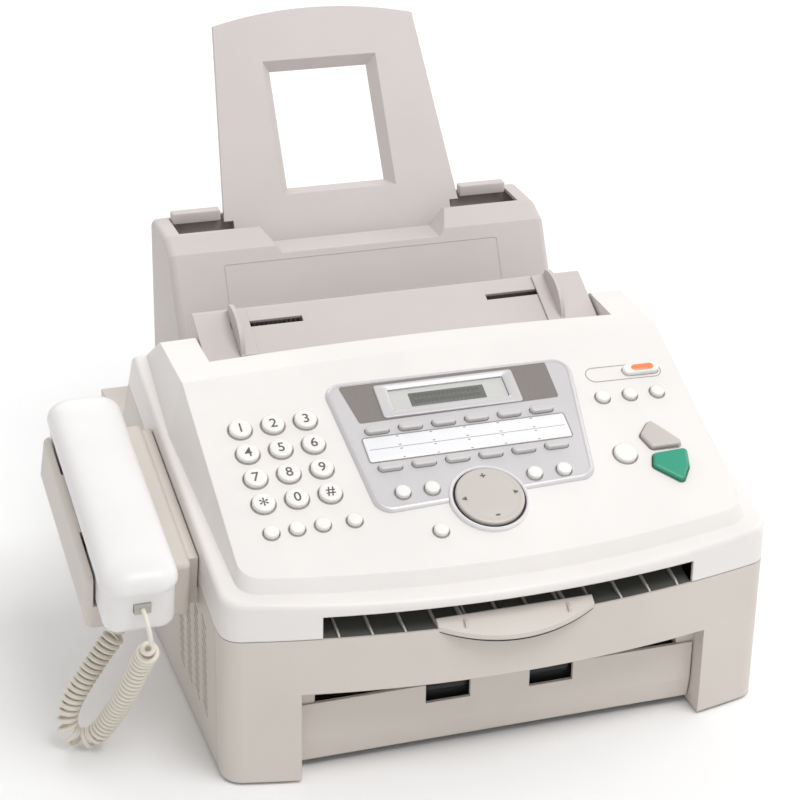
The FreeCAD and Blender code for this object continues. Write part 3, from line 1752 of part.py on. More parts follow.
def self_gap(points):
    """Least gap between turns of the cord, measured between its centre points."""
    near = samples_per_turn // 2
    least = far
    for index, point in enumerate(points):
        for other in points[index + near:index + 3 * samples_per_turn]:
            least = min(least, point.distanceToPoint(other))
    coarse = points[::4]
    for index, point in enumerate(coarse):
        for other in coarse[index + near:]:
            least = min(least, point.distanceToPoint(other))
    return least - wire_diameter


def make_cord():
    samples = cord_samples()
    quarter = samples_per_turn // 4
    picked = list(range(0, len(samples) - quarter, quarter)) + [len(samples) - 1]
    tangents = []
    for index in picked:
        before = samples[max(0, index - 1)]
        after = samples[min(len(samples) - 1, index + 1)]
        tangents.append((after - before).normalize())
    edges = []
    for number in range(len(picked) - 1):
        start = samples[picked[number]]
        end = samples[picked[number + 1]]
        edges += biarc(start, tangents[number], end, tangents[number + 1])
    path = Part.Wire(edges)
    section = Part.Wire(Part.makeCircle(wire_diameter / 2, samples[0], tangents[0]))
    cord = path.makePipeShell([section], True, False)
    tightest = min(edge.Curve.Radius for edge in edges if hasattr(edge.Curve, "Radius"))
    expected = math.pi * wire_diameter ** 2 / 4 * path.Length
    print("cord: curls", round(len(samples) / samples_per_turn), "wire length", round(path.Length, 1))
    print("cord: least gap", round(self_gap(samples), 2), "tightest arc", round(tightest, 2))
    print("cord: volume over section times length", round(cord.Volume / expected, 4))
    return cord


# All nodes
cover_outside = cover_solid(0)
cover_inside = cover_solid(wall)


def make_nodes():
    nodes = {
        "base_housing": make_base_housing(),
        "front_cover": make_front_cover(),
        "exit_flap": make_exit_flap(),
        "top_cover": make_top_cover(),
        "panel_bezel": make_panel_bezel(),
        "lcd_window": make_lcd_window(),
        "lcd_module": make_lcd_module(),
        "control_board": make_control_board(),
        "rear_hood": make_rear_hood(),
        "paper_tray": make_paper_tray(),
        "document_table": make_document_table(),
        "document_guide_left": make_left_guide(),
        "document_guide_right": make_right_guide(),
        "guide_pinion": make_guide_pinion(),
        "scanner_deck": make_scanner_deck(),
        "image_sensor": make_image_sensor(),
        "document_feed_roller": make_feed_roller(),
        "chassis_frame": make_chassis(),
        "photo_drum": geared_roller(drum_axis, drum_radius, drum_teeth, 0),
        "fuser_heat_roller": geared_roller(fuser_axis, fuser_radius, fuser_teeth, fuser_offset),
        "exit_roller": geared_roller(exit_axis, exit_radius, exit_teeth, exit_offset),
        "fuser_pressure_roller": joined(roller(pressure_axis, pressure_radius, roller_half)),
        "pickup_roller": joined(roller(pickup_axis, pickup_radius, pickup_half_width)),
        "idler_gear": loose_gear(idler_axis, idler_teeth, idler_offset),
        "exit_idler_gear": loose_gear(exit_idler_axis, exit_idler_teeth, exit_idler_offset),
        "drive_motor": make_motor(),
        "motor_pinion": make_motor_pinion(),
        "toner_cartridge": make_toner_cartridge(),
        "laser_unit": make_laser_unit(),
        "main_board": make_main_board(),
        "rubber_feet": make_feet(),
        "case_screws": make_screws(),
        "handset_cradle": make_cradle(),
        "hook_switch": make_hook(),
        "handset_upper_shell": make_handset_upper(),
        "handset_lower_shell": make_handset_lower(),
        "handset_plug": make_plug(),
        "handset_cord": make_cord(),
    }
    for name, specs in key_sets().items():
        nodes[name] = make_key(specs)
    return nodes


def middle_of_base(nodes):
    """Middle of the footprint of everything but the cord and its plug."""
    frame = FreeCAD.BoundBox()
    for name, shape in nodes.items():
        if name not in ("handset_cord", "handset_plug"):
            frame.add(shape.optimalBoundingBox(False))
    return Vector(frame.Center.x, frame.Center.y, frame.ZMin)


all_nodes = make_nodes()
origin = middle_of_base(all_nodes)
print("origin moved to", origin)
for node_name, node_shape in all_nodes.items():
    node_shape.translate(origin * -1)
    node_shape.exportStep("parts/" + node_name + ".step")
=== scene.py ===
import json
import math

import bmesh
import bpy
from mathutils import Matrix, Vector


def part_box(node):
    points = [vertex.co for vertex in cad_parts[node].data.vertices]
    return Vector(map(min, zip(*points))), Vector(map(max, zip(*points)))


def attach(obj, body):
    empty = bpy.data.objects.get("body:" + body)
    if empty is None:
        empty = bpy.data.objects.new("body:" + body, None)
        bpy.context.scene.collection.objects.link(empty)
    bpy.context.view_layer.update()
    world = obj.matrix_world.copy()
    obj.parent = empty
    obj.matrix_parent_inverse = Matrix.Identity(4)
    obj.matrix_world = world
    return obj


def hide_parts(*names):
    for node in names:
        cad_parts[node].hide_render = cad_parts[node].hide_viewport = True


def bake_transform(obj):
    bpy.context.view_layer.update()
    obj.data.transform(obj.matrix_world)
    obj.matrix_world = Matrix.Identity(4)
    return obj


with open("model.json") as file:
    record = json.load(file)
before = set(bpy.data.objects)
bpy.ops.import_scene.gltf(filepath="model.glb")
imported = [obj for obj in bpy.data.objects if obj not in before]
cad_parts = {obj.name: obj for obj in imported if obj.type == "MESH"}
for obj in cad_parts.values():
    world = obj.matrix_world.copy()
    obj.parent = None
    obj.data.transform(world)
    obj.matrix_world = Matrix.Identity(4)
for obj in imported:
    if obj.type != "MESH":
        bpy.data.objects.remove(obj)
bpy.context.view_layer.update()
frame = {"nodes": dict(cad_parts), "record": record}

nodes = frame["nodes"]
scene = bpy.context.scene

# Lengths below are in millimetres in the machine's own frame: X = 0 is the middle of the body,
# Y = 0 joins its front corners, Z = 0 is the table. body() turns them into metres in the row frame.
MM = 0.001
REAR_Y = 349.0
case_low, case_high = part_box("base_housing")
SHIFT = Vector(((case_low.x + case_high.x) / 2, case_high.y - REAR_Y * MM, 0.0))

PANEL_ANGLE = math.radians(24.04)
CREASE_Y, CREASE_Z = 152.0, 198.4
PANEL_CROWN = 3.9
PANEL_HALF = 162.0
CROWN_RADIUS = (PANEL_HALF ** 2 + PANEL_CROWN ** 2) / (2 * PANEL_CROWN)
BEZEL_THICKNESS = 1.3
KEY_PROUD = 2.4
CRADLE_ANGLE = math.radians(12.5)
CRADLE_PLACE = (-176.0, 54.0, 97.0)


def body(x, y, z):
    return Vector((x, y, z)) * MM + SHIFT


def leaning(place, angle):
    """Maps a point of a frame that stands at a place and leans about X."""
    c, s = math.cos(angle), math.sin(angle)

    def put(x, along, height):
        return body(
            place[0] + x,
            place[1] + along * c - height * s,
            place[2] + along * s + height * c,
        )

    return put


panel_frame = leaning((0.0, CREASE_Y, CREASE_Z), PANEL_ANGLE)
cradle = leaning(CRADLE_PLACE, CRADLE_ANGLE)


def crown(x):
    """Height of the crowned panel over the flat panel frame."""
    drop = CROWN_RADIUS - math.sqrt(CROWN_RADIUS ** 2 - x ** 2)
    return (PANEL_CROWN - drop) * math.cos(PANEL_ANGLE)


def on_panel(x, v, height):
    """Across, down the slope from the crease, and above the crowned panel."""
    return panel_frame(x, -v, crown(x) + height)


def at_level(level):
    """Maps the same three lengths, with the height above one flat level."""

    def put(x, v, height):
        return panel_frame(x, -v, level + height)

    return put


BEZEL_TOP = crown(0.0) + BEZEL_THICKNESS
on_bezel = at_level(BEZEL_TOP)


def upright(x, z, y):
    """Maps an outline that stands across the machine, with Y as its height."""
    return body(x, y, z)


# Materials
BROAD_SCALE, BROAD_DETAIL = 14.0, 4.0
FINE_DETAIL = 2.0
NOISE_LOW, NOISE_HIGH = 0.3, 0.7
GLOSS_SPREAD = 0.14
RELIEF_DEPTH = 0.0003
EDGE_SAMPLES = 6
DRAWN_SCALE = (0.04, 1.0, 1.0)


def linear(text):
    """Linear colour from a hex sRGB one."""
    shares = [int(text[i:i + 2], 16) / 255 for i in (0, 2, 4)]
    return [c / 12.92 if c <= 0.04045 else ((c + 0.055) / 1.055) ** 2.4 for c in shares] + [1.0]


def noise(tree, coord, scale, detail):
    node = tree.nodes.new("ShaderNodeTexNoise")
    node.inputs["Scale"].default_value = scale
    node.inputs["Detail"].default_value = detail
    tree.links.new(coord.outputs["Object"], node.inputs["Vector"])
    return node


def ramp(tree, source, low, high):
    node = tree.nodes.new("ShaderNodeValToRGB")
    node.color_ramp.elements[0].position = NOISE_LOW
    node.color_ramp.elements[1].position = NOISE_HIGH
    node.color_ramp.elements[0].color = low
    node.color_ramp.elements[1].color = high
    tree.links.new(source.outputs["Fac"], node.inputs["Fac"])
    return node


def spread(tree, source, low, high):
    node = tree.nodes.new("ShaderNodeMapRange")
    node.inputs["From Min"].default_value = NOISE_LOW
    node.inputs["From Max"].default_value = NOISE_HIGH
    node.inputs["To Min"].default_value = low
    node.inputs["To Max"].default_value = high
    tree.links.new(source.outputs["Fac"], node.inputs["Value"])
    return node


def finish(name, colour, rough, grain=1400.0, bump=0.06, tint=0.03, soft=0.0, **sockets):
    """Moulded or painted surface: broad tint, fine grain, uneven gloss and softened edges."""
    material = bpy.data.materials.new(name)
    material.use_nodes = True
    tree = material.node_tree
    shader = tree.nodes["Principled BSDF"]
    coord = tree.nodes.new("ShaderNodeTexCoord")
    base = linear(colour)
    dark = [c * (1 - tint) for c in base[:3]] + [1.0]
    light = [min(1.0, c * (1 + tint)) for c in base[:3]] + [1.0]
    broad = noise(tree, coord, BROAD_SCALE, BROAD_DETAIL)
    tree.links.new(ramp(tree, broad, dark, light).outputs["Color"], shader.inputs["Base Color"])
    fine = noise(tree, coord, grain, FINE_DETAIL)
    gloss = spread(tree, fine, rough * (1 - GLOSS_SPREAD), min(1.0, rough * (1 + GLOSS_SPREAD)))
    tree.links.new(gloss.outputs["Result"], shader.inputs["Roughness"])
    relief = tree.nodes.new("ShaderNodeBump")
    relief.inputs["Strength"].default_value = bump
    relief.inputs["Distance"].default_value = RELIEF_DEPTH
    tree.links.new(fine.outputs["Fac"], relief.inputs["Height"])
    if soft:
        edges = tree.nodes.new("ShaderNodeBevel")
        edges.samples = EDGE_SAMPLES
        edges.inputs["Radius"].default_value = soft * MM
        tree.links.new(edges.outputs["Normal"], relief.inputs["Normal"])
    tree.links.new(relief.outputs["Normal"], shader.inputs["Normal"])
    for socket, value in sockets.items():
        shader.inputs[socket.replace("_", " ")].default_value = value
    return material


def brushed(name, colour, rough):
    """Metal with fine drawn lines along one axis."""
    material = finish(name, colour, rough, grain=500.0, bump=0.05, tint=0.06, Metallic=1.0)
    tree = material.node_tree
    coord = next(n for n in tree.nodes if n.type == "TEX_COORD")
    stretch = tree.nodes.new("ShaderNodeMapping")
    stretch.inputs["Scale"].default_value = DRAWN_SCALE
    tree.links.new(coord.outputs["Object"], stretch.inputs["Vector"])
    for node in tree.nodes:
        if node.type == "TEX_NOISE":
            tree.links.new(stretch.outputs["Vector"], node.inputs["Vector"])
    return material


# One finish for each material slot of the record
materials = {
    "case_white": finish("case_white", "E9E5E2", 0.42, soft=1.2),
    "case_grey": finish("case_grey", "D3CBC3", 0.5, soft=0.9),
    "hopper_grey": finish("hopper_grey", "CBC3C0", 0.5, soft=0.8),
    "handset_white": finish("handset_white", "EBE9E8", 0.36, grain=1800.0, bump=0.03),
    "key_white": finish("key_white", "EEECE9", 0.38, bump=0.03, soft=0.5),
    "key_grey": finish("key_grey", "CBC8C8", 0.36, bump=0.03, soft=0.5),
    "key_beige": finish("key_beige", "C7C0BA", 0.34, bump=0.04, soft=0.6),
    "key_green": finish("key_green", "2F9A7C", 0.36, bump=0.03, soft=0.6),
    "silver_trim": finish("silver_trim", "D3D0D2", 0.34, grain=2600.0, bump=0.05, soft=0.5, Metallic=0.25),
    "lcd_glass": finish("lcd_glass", "CDCDC9", 0.16, grain=300.0, bump=0.01, Coat_Weight=0.6),
    "lcd_grey": finish("lcd_grey", "6C6D68", 0.3, grain=900.0, bump=0.02, tint=0.08, Coat_Weight=0.5),
    "board_green": finish("board_green", "1F6B41", 0.4, grain=260.0, bump=0.2, tint=0.2),
    "steel": brushed("steel", "B9BBBD", 0.34),
    "dark_plastic": finish("dark_plastic", "1B1B1D", 0.5, tint=0.12),
    "gear_plastic": finish("gear_plastic", "E4E1D8", 0.4),
    "drum_coat": finish("drum_coat", "1E6E63", 0.14, grain=500.0, bump=0.01, Coat_Weight=0.5),
    "roller_rubber": finish("roller_rubber", "262626", 0.75, grain=700.0, bump=0.2, tint=0.12),
    "foot_rubber": finish("foot_rubber", "1E1E1E", 0.8, grain=700.0, bump=0.2, tint=0.12),
    "cord_plastic": finish("cord_plastic", "E6DFD3", 0.4, bump=0.04),
    "plug_clear": finish("plug_clear", "D8D6CF", 0.12, grain=300.0, bump=0.02, Transmission_Weight=0.35),
}

# Finishes of marks and trim that belong to no slot
ink = finish("mark_ink", "625E5B", 0.6, grain=900.0, bump=0.05, tint=0.08)
ring_grey = finish("ring_grey", "A39D97", 0.45, bump=0.04, tint=0.04)
bright_trim = finish("bright_trim", "E9E8EA", 0.26, grain=2600.0, bump=0.03, tint=0.02, Metallic=0.15)
band_grey = finish("band_grey", "8F8884", 0.3, grain=2600.0, bump=0.04, tint=0.05, Metallic=0.3)
card_white = finish("card_white", "EFEFF2", 0.3, grain=800.0, bump=0.02, tint=0.015, Coat_Weight=0.4)
cell_shade = finish("cell_shade", "62635F", 0.34, grain=900.0, bump=0.02, tint=0.06, Coat_Weight=0.5)
light_orange = finish("light_orange", "F08A55", 0.28, bump=0.02, tint=0.06, Coat_Weight=0.4)
# painted shade: dark finish of the strips on the upper slot's shelf and of the vent's back, laid where
# these lie in shade
shelf_shade = finish("shelf_shade", "5A5B55", 0.6, tint=0.12)

slot_of = {row["node"]: row["material_slot"] for row in frame["record"]["subparts"]}
for node_name, node in nodes.items():
    node.data.materials.clear()
    node.data.materials.append(materials[slot_of[node_name]])


# Mesh building
SHARP = math.radians(38.0)
WELD = 1e-7


def weld(mesh):
    """Joins points that coincide and turns all faces outwards."""
    shape = bmesh.new()
    shape.from_mesh(mesh)
    bmesh.ops.remove_doubles(shape, verts=shape.verts, dist=WELD)
    bmesh.ops.recalc_face_normals(shape, faces=shape.faces)
    shape.to_mesh(mesh)
    shape.free()


def add(name, part, look, rides):
    """Adds a piece. Its look is the name of a slot, or a material that belongs to no slot."""
    points, faces = part
    mesh = bpy.data.meshes.new(name)
    mesh.from_pydata([tuple(p) for p in points], [], faces)
    weld(mesh)
    mesh.shade_smooth()
    mesh.set_sharp_from_angle(angle=SHARP)
    in_slot = isinstance(look, str)
    mesh.materials.append(materials[look] if in_slot else look)
    piece = bpy.data.objects.new(name, mesh)
    scene.collection.objects.link(piece)
    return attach(piece, rides) if rides else piece


def arc(centre, radius, start, end, steps):
    """Points on an arc, from one angle in degrees to another."""
    found = []
    for i in range(steps + 1):
        a = math.radians(start + (end - start) * i / steps)
        found.append((centre[0] + radius * math.cos(a), centre[1] + radius * math.sin(a)))
    return found


def circle(centre, radius, count=56):
    return arc(centre, radius, 0, 360 - 360 / count, count - 1)


def round_rect(x0, x1, y0, y1, radius, steps=8):
    radius = min(radius, (x1 - x0) / 2 - 1e-4, (y1 - y0) / 2 - 1e-4)
    corners = [
        ((x1 - radius, y0 + radius), -90), ((x1 - radius, y1 - radius), 0),
        ((x0 + radius, y1 - radius), 90), ((x0 + radius, y0 + radius), 180),
    ]
    found = []
    for centre, start in corners:
        found += arc(centre, radius, start, start + 90, steps)
    return found


def centred(x, y, width, height, radius):
    return round_rect(x - width / 2, x + width / 2, y - height / 2, y + height / 2, radius, 4)


def pill(centre, size, grow=0.0, steps=20):
    x, y = centre
    radius = size[1] / 2 + grow
    straight = (size[0] - size[1]) / 2
    right = arc((x + straight, y), radius, -90, 90, steps)
    return right + arc((x - straight, y), radius, 90, 270, steps)


def rounded(corners, radius, steps=6):
    """A polygon with its corners rounded."""
    found = []
    count = len(corners)
    for i in range(count):
        before, here, after = (Vector(corners[(i + k) % count]) for k in (-1, 0, 1))
        a, b = (before - here).normalized(), (after - here).normalized()
        half = math.acos(max(-1.0, min(1.0, a.dot(b)))) / 2
        reach = radius / math.tan(half)
        middle = here + (a + b).normalized() * (radius / math.sin(half))
        first, last = here + a * reach - middle, here + b * reach - middle
        turn = first.angle_signed(last)
        for k in range(steps + 1):
            step = Matrix.Rotation(-turn * k / steps, 2)
            found.append(tuple(middle + step @ first))
    return found


def inset(outline, distance):
    """The outline moved inwards, or outwards if the distance is negative."""
    area = sum(a[0] * b[1] - b[0] * a[1] for a, b in zip(outline, outline[1:] + outline[:1]))
    side = 1.0 if area > 0 else -1.0
    found = []
    count = len(outline)
    for i in range(count):
        before, here, after = (Vector(outline[(i + k) % count]) for k in (-1, 0, 1))
        a, b = (here - before).normalized(), (after - here).normalized()
        na, nb = Vector((-a.y, a.x)) * side, Vector((-b.y, b.x)) * side
        miter = na + nb
        found.append(tuple(here + miter * (2 * distance / miter.length_squared)))
    return found


def through(sections, closed=False):
    """Points and faces of a solid that runs through equal sections, as a loop or with both ends shut."""
    points = [p for section in sections for p in section]
    count = len(sections[0])
    faces = []
    for r in range(len(sections) - (0 if closed else 1)):
        a, b = r * count, (r + 1) % len(sections) * count
        for i in range(count):
            j = (i + 1) % count
            faces.append((a + i, a + j, b + j, b + i))
    if not closed:
        faces.append(tuple(range(count))[::-1])
        faces.append(tuple(range(len(points) - count, len(points))))
    return points, faces


def rings_mesh(rings, put, closed=False):
    """A solid whose level sections are the given (outline, height) rings."""
    return through([[put(x, y, height) for x, y in outline] for outline, height in rings], closed)


def stepped(outline, steps, base, put):
    """A cap over a base height that steps in from its outline by (distance, rise) pairs."""
    rings = []
    for back, rise in steps:
        rings.append((inset(outline, back) if back else outline, base + rise))
    return rings_mesh(rings, put)


def plate(outline, low, high, chamfer, put):
    rings = [(outline, low), (outline, high - chamfer)]
    rings.append((inset(outline, chamfer * 0.3), high - chamfer * 0.3))
    rings.append((inset(outline, chamfer), high))
    return rings_mesh(rings, put)


def hoop(outline, width, low, high, chamfer, put):
    """A raised closed band that follows an outline inwards."""
    rings = [
        (outline, low),
        (outline, high - chamfer),
        (inset(outline, chamfer), high),
        (inset(outline, width - chamfer), high),
        (inset(outline, width), high - chamfer),
        (inset(outline, width), low),
    ]
    return rings_mesh(rings, put, closed=True)


def bar_between(x0, x1, profile):
    """A bar along X whose section is a profile of (y, z) points."""
    return through([[body(x, y, z) for y, z in profile] for x in (x0, x1)])


def sheet(rows, thickness):
    """A thin skin under a grid of points, with its edges closed."""
    across = len(rows[0])
    top = [p for row in rows for p in row]
    points = [body(x, y, z) for x, y, z in top] + [body(x, y, z - thickness) for x, y, z in top]
    half = len(top)
    faces = []
    for i in range(len(rows) - 1):
        for j in range(across - 1):
            a = i * across + j
            face = (a, a + 1, a + across + 1, a + across)
            faces.append(face)
            faces.append(tuple(half + k for k in face[::-1]))
    rim = list(range(across))
    rim += [i * across + across - 1 for i in range(1, len(rows))]
    rim += [half - 1 - j for j in range(1, across)]
    rim += [i * across for i in range(len(rows) - 2, 0, -1)]
    for a, b in zip(rim, rim[1:] + rim[:1]):
        faces.append((a, b, half + b, half + a))
    return points, faces


def merged(parts):
    """Several meshes as one."""
    points, faces = [], []
    for more_points, more_faces in parts:
        start = len(points)
        points += more_points
        faces += [tuple(start + i for i in face) for face in more_faces]
    return points, faces


def read_curve(curve):
    """A mesh of the curve. The curve itself is removed."""
    holder = bpy.data.objects.new(curve.name, curve)
    scene.collection.objects.link(holder)
    graph = bpy.context.evaluated_depsgraph_get()
    mesh = bpy.data.meshes.new_from_object(holder.evaluated_get(graph))
    bpy.data.objects.remove(holder)
    bpy.data.curves.remove(curve)
    return mesh


def glyph(text, size, centre, height, put, weight=0.1, depth=0.05):
    """A raised generic mark from the built-in font, thickened by a weight and centred on a place."""
    curve = bpy.data.curves.new("glyph", "FONT")
    curve.body = text
    curve.size = size
    curve.extrude = depth
    curve.offset = weight
    curve.resolution_u = 4
    mesh = read_curve(curve)
    xs = [v.co.x for v in mesh.vertices]
    ys = [v.co.y for v in mesh.vertices]
    middle = ((min(xs) + max(xs)) / 2, (min(ys) + max(ys)) / 2)
    points = []
    for v in mesh.vertices:
        points.append(put(centre[0] + v.co.x - middle[0], centre[1] - v.co.y + middle[1], height + v.co.z))
    faces = [tuple(p.vertices) for p in mesh.polygons]
    bpy.data.meshes.remove(mesh)
    return points, faces


# Camera, fitted to the photograph's 800 by 800 frame
FOCAL_PIXELS = 2300.93
IMAGE_PIXELS = 800.0
SENSOR_WIDTH = 36.0
CAMERA_PLACE = (-453.097, -1125.919, 804.506)
CAMERA_AZIMUTH = math.radians(-18.808)
CAMERA_ELEVATION = math.radians(25.248)
CAMERA_ROLL = math.radians(1.108)


def add_camera():
    data = bpy.data.cameras.new("camera")
    data.sensor_width = SENSOR_WIDTH
    data.lens = FOCAL_PIXELS / IMAGE_PIXELS * SENSOR_WIDTH
    camera = bpy.data.objects.new("camera", data)
    scene.collection.objects.link(camera)
    ca, sa = math.cos(CAMERA_AZIMUTH), math.sin(CAMERA_AZIMUTH)
    ce, se = math.cos(CAMERA_ELEVATION), math.sin(CAMERA_ELEVATION)
    back = Vector((sa * ce, -ca * ce, se))
    right = (-back).cross(Vector((0, 0, 1))).normalized()
    over = right.cross(-back)
    c, s = math.cos(CAMERA_ROLL), math.sin(CAMERA_ROLL)
    turn = Matrix((right * c + over * s, over * c - right * s, back)).transposed().to_4x4()
    camera.matrix_world = Matrix.Translation(body(*CAMERA_PLACE)) @ turn
    scene.camera = camera


# Curly cord: its route's points, from the plug down to the table and up into the cradle
CORD_ROUTE = (
    (-219.0, 18.169, 119.785), (-219.0, 14.313, 118.93), (-219.0, 10.017, 117.978), (-217.5, 5.5, 108.0),
    (-216.5, 11.0, 97.0), (-218.5, 20.5, 87.0), (-222.0, 28.0, 71.0), (-226.0, 36.0, 55.0),
    (-230.5, 46.0, 39.0), (-235.5, 56.0, 22.0), (-242.5, 63.0, 8.3), (-255.0, 67.0, 5.9),
    (-260.0, 68.5, 19.0), (-254.0, 69.5, 35.0), (-244.5, 69.0, 50.0), (-235.5, 68.5, 64.0),
    (-226.5, 68.0, 76.0), (-219.0, 68.0, 84.0), (-219.0, 68.0, 90.0), (-219.0, 68.0, 95.0),
)
WIRE = 3.0
CURL_RADIUS = 5.5
CURL_PITCH = 3.85
CURL_GAP = 0.85
CURL_LEAD = 20.0
CURL_RAMP = 16.0
COIL_START = 22.0
COIL_END = 9.0
TURN_SAMPLES = 24
WIRE_SIDES = 12
STRETCH_START, STRETCH_END = (-219.0, 62.0, 60.0), (-219.0, 20.0, 60.0)


def route_points():
    """Points read from the route's smooth spline, in metres."""
    curve = bpy.data.curves.new("cord_route", "CURVE")
    curve.dimensions = "3D"
    curve.resolution_u = 48
    spline = curve.splines.new("NURBS")
    spline.points.add(len(CORD_ROUTE) - 1)
    for point, place in zip(spline.points, CORD_ROUTE):
        point.co = (*body(*place), 1.0)
    spline.order_u = 3
    spline.use_endpoint_u = True
    line = read_curve(curve)
    points = [v.co.copy() for v in line.vertices]
    bpy.data.meshes.remove(line)
    return points


def ease(value):
    value = min(1.0, max(0.0, value))
    return value * value * (3 - 2 * value)


class Line:
    """A sampled line that can be read at any distance along it."""

    def __init__(self, points):
        self.points = points
        self.lengths = [0.0]
        for a, b in zip(points, points[1:]):
            self.lengths.append(self.lengths[-1] + (b - a).length)
        self.total = self.lengths[-1]

    def at(self, distance):
        distance = min(max(distance, 0.0), self.total)
        low, high = 0, len(self.points) - 1
        while high - low > 1:
            middle = (low + high) // 2
            if self.lengths[middle] <= distance:
                low = middle
            else:
                high = middle
        span = self.lengths[high] - self.lengths[low]
        share = (distance - self.lengths[low]) / span if span else 0.0
        return self.points[low].lerp(self.points[high], share)

    def tangent(self, distance, reach=0.0012):
        return (self.at(distance + reach) - self.at(distance - reach)).normalized()

    def curvature(self, distance, reach=0.002):
        turn = self.tangent(distance - reach).angle(self.tangent(distance + reach), 0.0)
        return turn / (2 * reach)


def curl_points(line):
    """Centre points of the curly cord round its route, in metres."""
    normal = Vector((1.0, 0.0, 0.0))
    along, turn = 0.0, 0.0
    found = []
    while along < line.total:
        tangent = line.tangent(along)
        normal = (normal - tangent * normal.dot(tangent)).normalized()
        side = tangent.cross(normal)
        room = min(along - COIL_START * MM, line.total - COIL_END * MM - along)
        swell = ease(room / (CURL_RAMP * MM))
        radius = CURL_RADIUS * MM * swell
        found.append(line.at(along) + normal * radius * math.cos(turn) + side * radius * math.sin(turn))
        bent = (WIRE + CURL_GAP) / (1 - CURL_RADIUS * MM * line.curvature(along))
        pitch = max(CURL_PITCH, bent) + (CURL_LEAD - CURL_PITCH) * (1 - swell)
        along += pitch * MM / TURN_SAMPLES
        turn += 2 * math.pi / TURN_SAMPLES
    return found + [line.points[-1]]


def tube(path, radius, sides):
    """A closed tube round a path, with rings that don't twist."""
    normal = Vector((0.0, 0.0, 1.0))
    rings = []
    for i, place in enumerate(path):
        tangent = (path[min(i + 1, len(path) - 1)] - path[max(i - 1, 0)]).normalized()
        normal = normal - tangent * normal.dot(tangent)
        if normal.length < 1e-6:
            normal = tangent.orthogonal()
        normal.normalize()
        side = tangent.cross(normal)
        ring = []
        for k in range(sides):
            a = 2 * math.pi * k / sides
            ring.append(place + (normal * math.cos(a) + side * math.sin(a)) * radius)
        rings.append(ring)
    return through(rings)


def add_cord():
    path = curl_points(Line(route_points()))
    length = sum((b - a).length for a, b in zip(path, path[1:]))
    cord = add("curly_cord", tube(path, WIRE / 2 * MM, WIRE_SIDES), "cord_plastic", None)
    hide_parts("handset_cord")
    body(*CORD_ROUTE[-1])
    body(*STRETCH_START)
    body(*STRETCH_END)
    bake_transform(cord)


# Handset: a crowned upper shell with a soft rim over the split line
HANDSET_X = -43.0
HANDSET_HALF = 23.5
HANDSET_START, HANDSET_END = -30.0, 154.0
HANDSET_CORNER, HANDSET_CORNER_LEAST = 14.0, 0.8
HANDSET_CORNER_FADE = 0.35
HANDSET_PROFILE = (
    (1.4, 40.1), (0.4, 40.5), (0.0, 41.6), (0.0, 43.6), (0.5, 46.0), (1.5, 48.2), (3.2, 50.2), (5.6, 51.9),
    (8.6, 53.0), (12.0, 53.7), (16.0, 54.1), (20.0, 54.3), (22.6, 54.35),
)


def handset_ring(distance, height):
    x0, x1 = HANDSET_X - HANDSET_HALF + distance, HANDSET_X + HANDSET_HALF - distance
    u0, u1 = HANDSET_START + distance, HANDSET_END - distance
    corner = max(HANDSET_CORNER - distance * HANDSET_CORNER_FADE, HANDSET_CORNER_LEAST)
    return round_rect(x0, x1, u0, u1, corner, 10), height


def add_handset():
    rings = [handset_ring(distance, height) for distance, height in HANDSET_PROFILE]
    shell = add("handset_top", rings_mesh(rings, cradle), "handset_white", "handset")
    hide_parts("handset_upper_shell")


# Round keys: a low dome on each cap, a grey ring round it, and a mark on the number keys
DIGIT_FIRST = (-135.6, 44.6)
DIGIT_PITCH = (20.85, 19.75)
DIGIT_RADIUS = 7.0
DIGIT_RISE = 0.5
DIGIT_SIZE, STAR_SIZE = 9.6, 13.5
DIGIT_HEIGHT = KEY_PROUD + 0.52
DIGIT_RING = 0.75
DIGIT_MARKS = (
    ("key_1", "1"), ("key_2", "2"), ("key_3", "3"), ("key_4", "4"), ("key_5", "5"), ("key_6", "6"),
    ("key_7", "7"), ("key_8", "8"), ("key_9", "9"), ("key_star", "*"), ("key_0", "0"), ("key_hash", "#"),
)
SMALL_KEYS = ((-136.3, 126.1), (-120.4, 126.1), (-104.5, 126.1), (-84.8, 126.5), (-35.2, 143.6))
MODE_KEYS = ((101.7, 56.4), (120.9, 56.4), (140.1, 56.4))
CALLER_KEYS = ((-50.5, 112.4), (-31.7, 112.4), (35.6, 111.7), (55.1, 111.7))
SMALL_RADIUS = 4.6
STOP_KEY, STOP_RADIUS = (100.0, 104.0), 7.5
SMALL_RISE = 0.4
SMALL_RING = 0.65
DOME_STEPS = ((0.25, -0.05), (0.3, 0.12), (0.7, 0.3), (1.5, 0.55), (2.8, 0.8), (4.2, 0.95))
DOME_TIP = 0.4
DOME_SIDES = 40
RING_GAP = 0.4
RING_LOW, RING_HIGH = -0.2, 0.22
RING_CHAMFER = 0.08


def dome(centre, radius, rise, put):
    rings = []
    for back, share in DOME_STEPS:
        if back < radius - 0.5:
            rings.append((circle(centre, radius - back, DOME_SIDES), KEY_PROUD + rise * share))
    rings.append((circle(centre, DOME_TIP, DOME_SIDES), KEY_PROUD + rise))
    return rings_mesh(rings, put)


def ring_round(centre, radius, width, put):
    outline = circle(centre, radius + RING_GAP + width)
    return hoop(outline, width, RING_LOW, RING_HIGH, RING_CHAMFER, put)


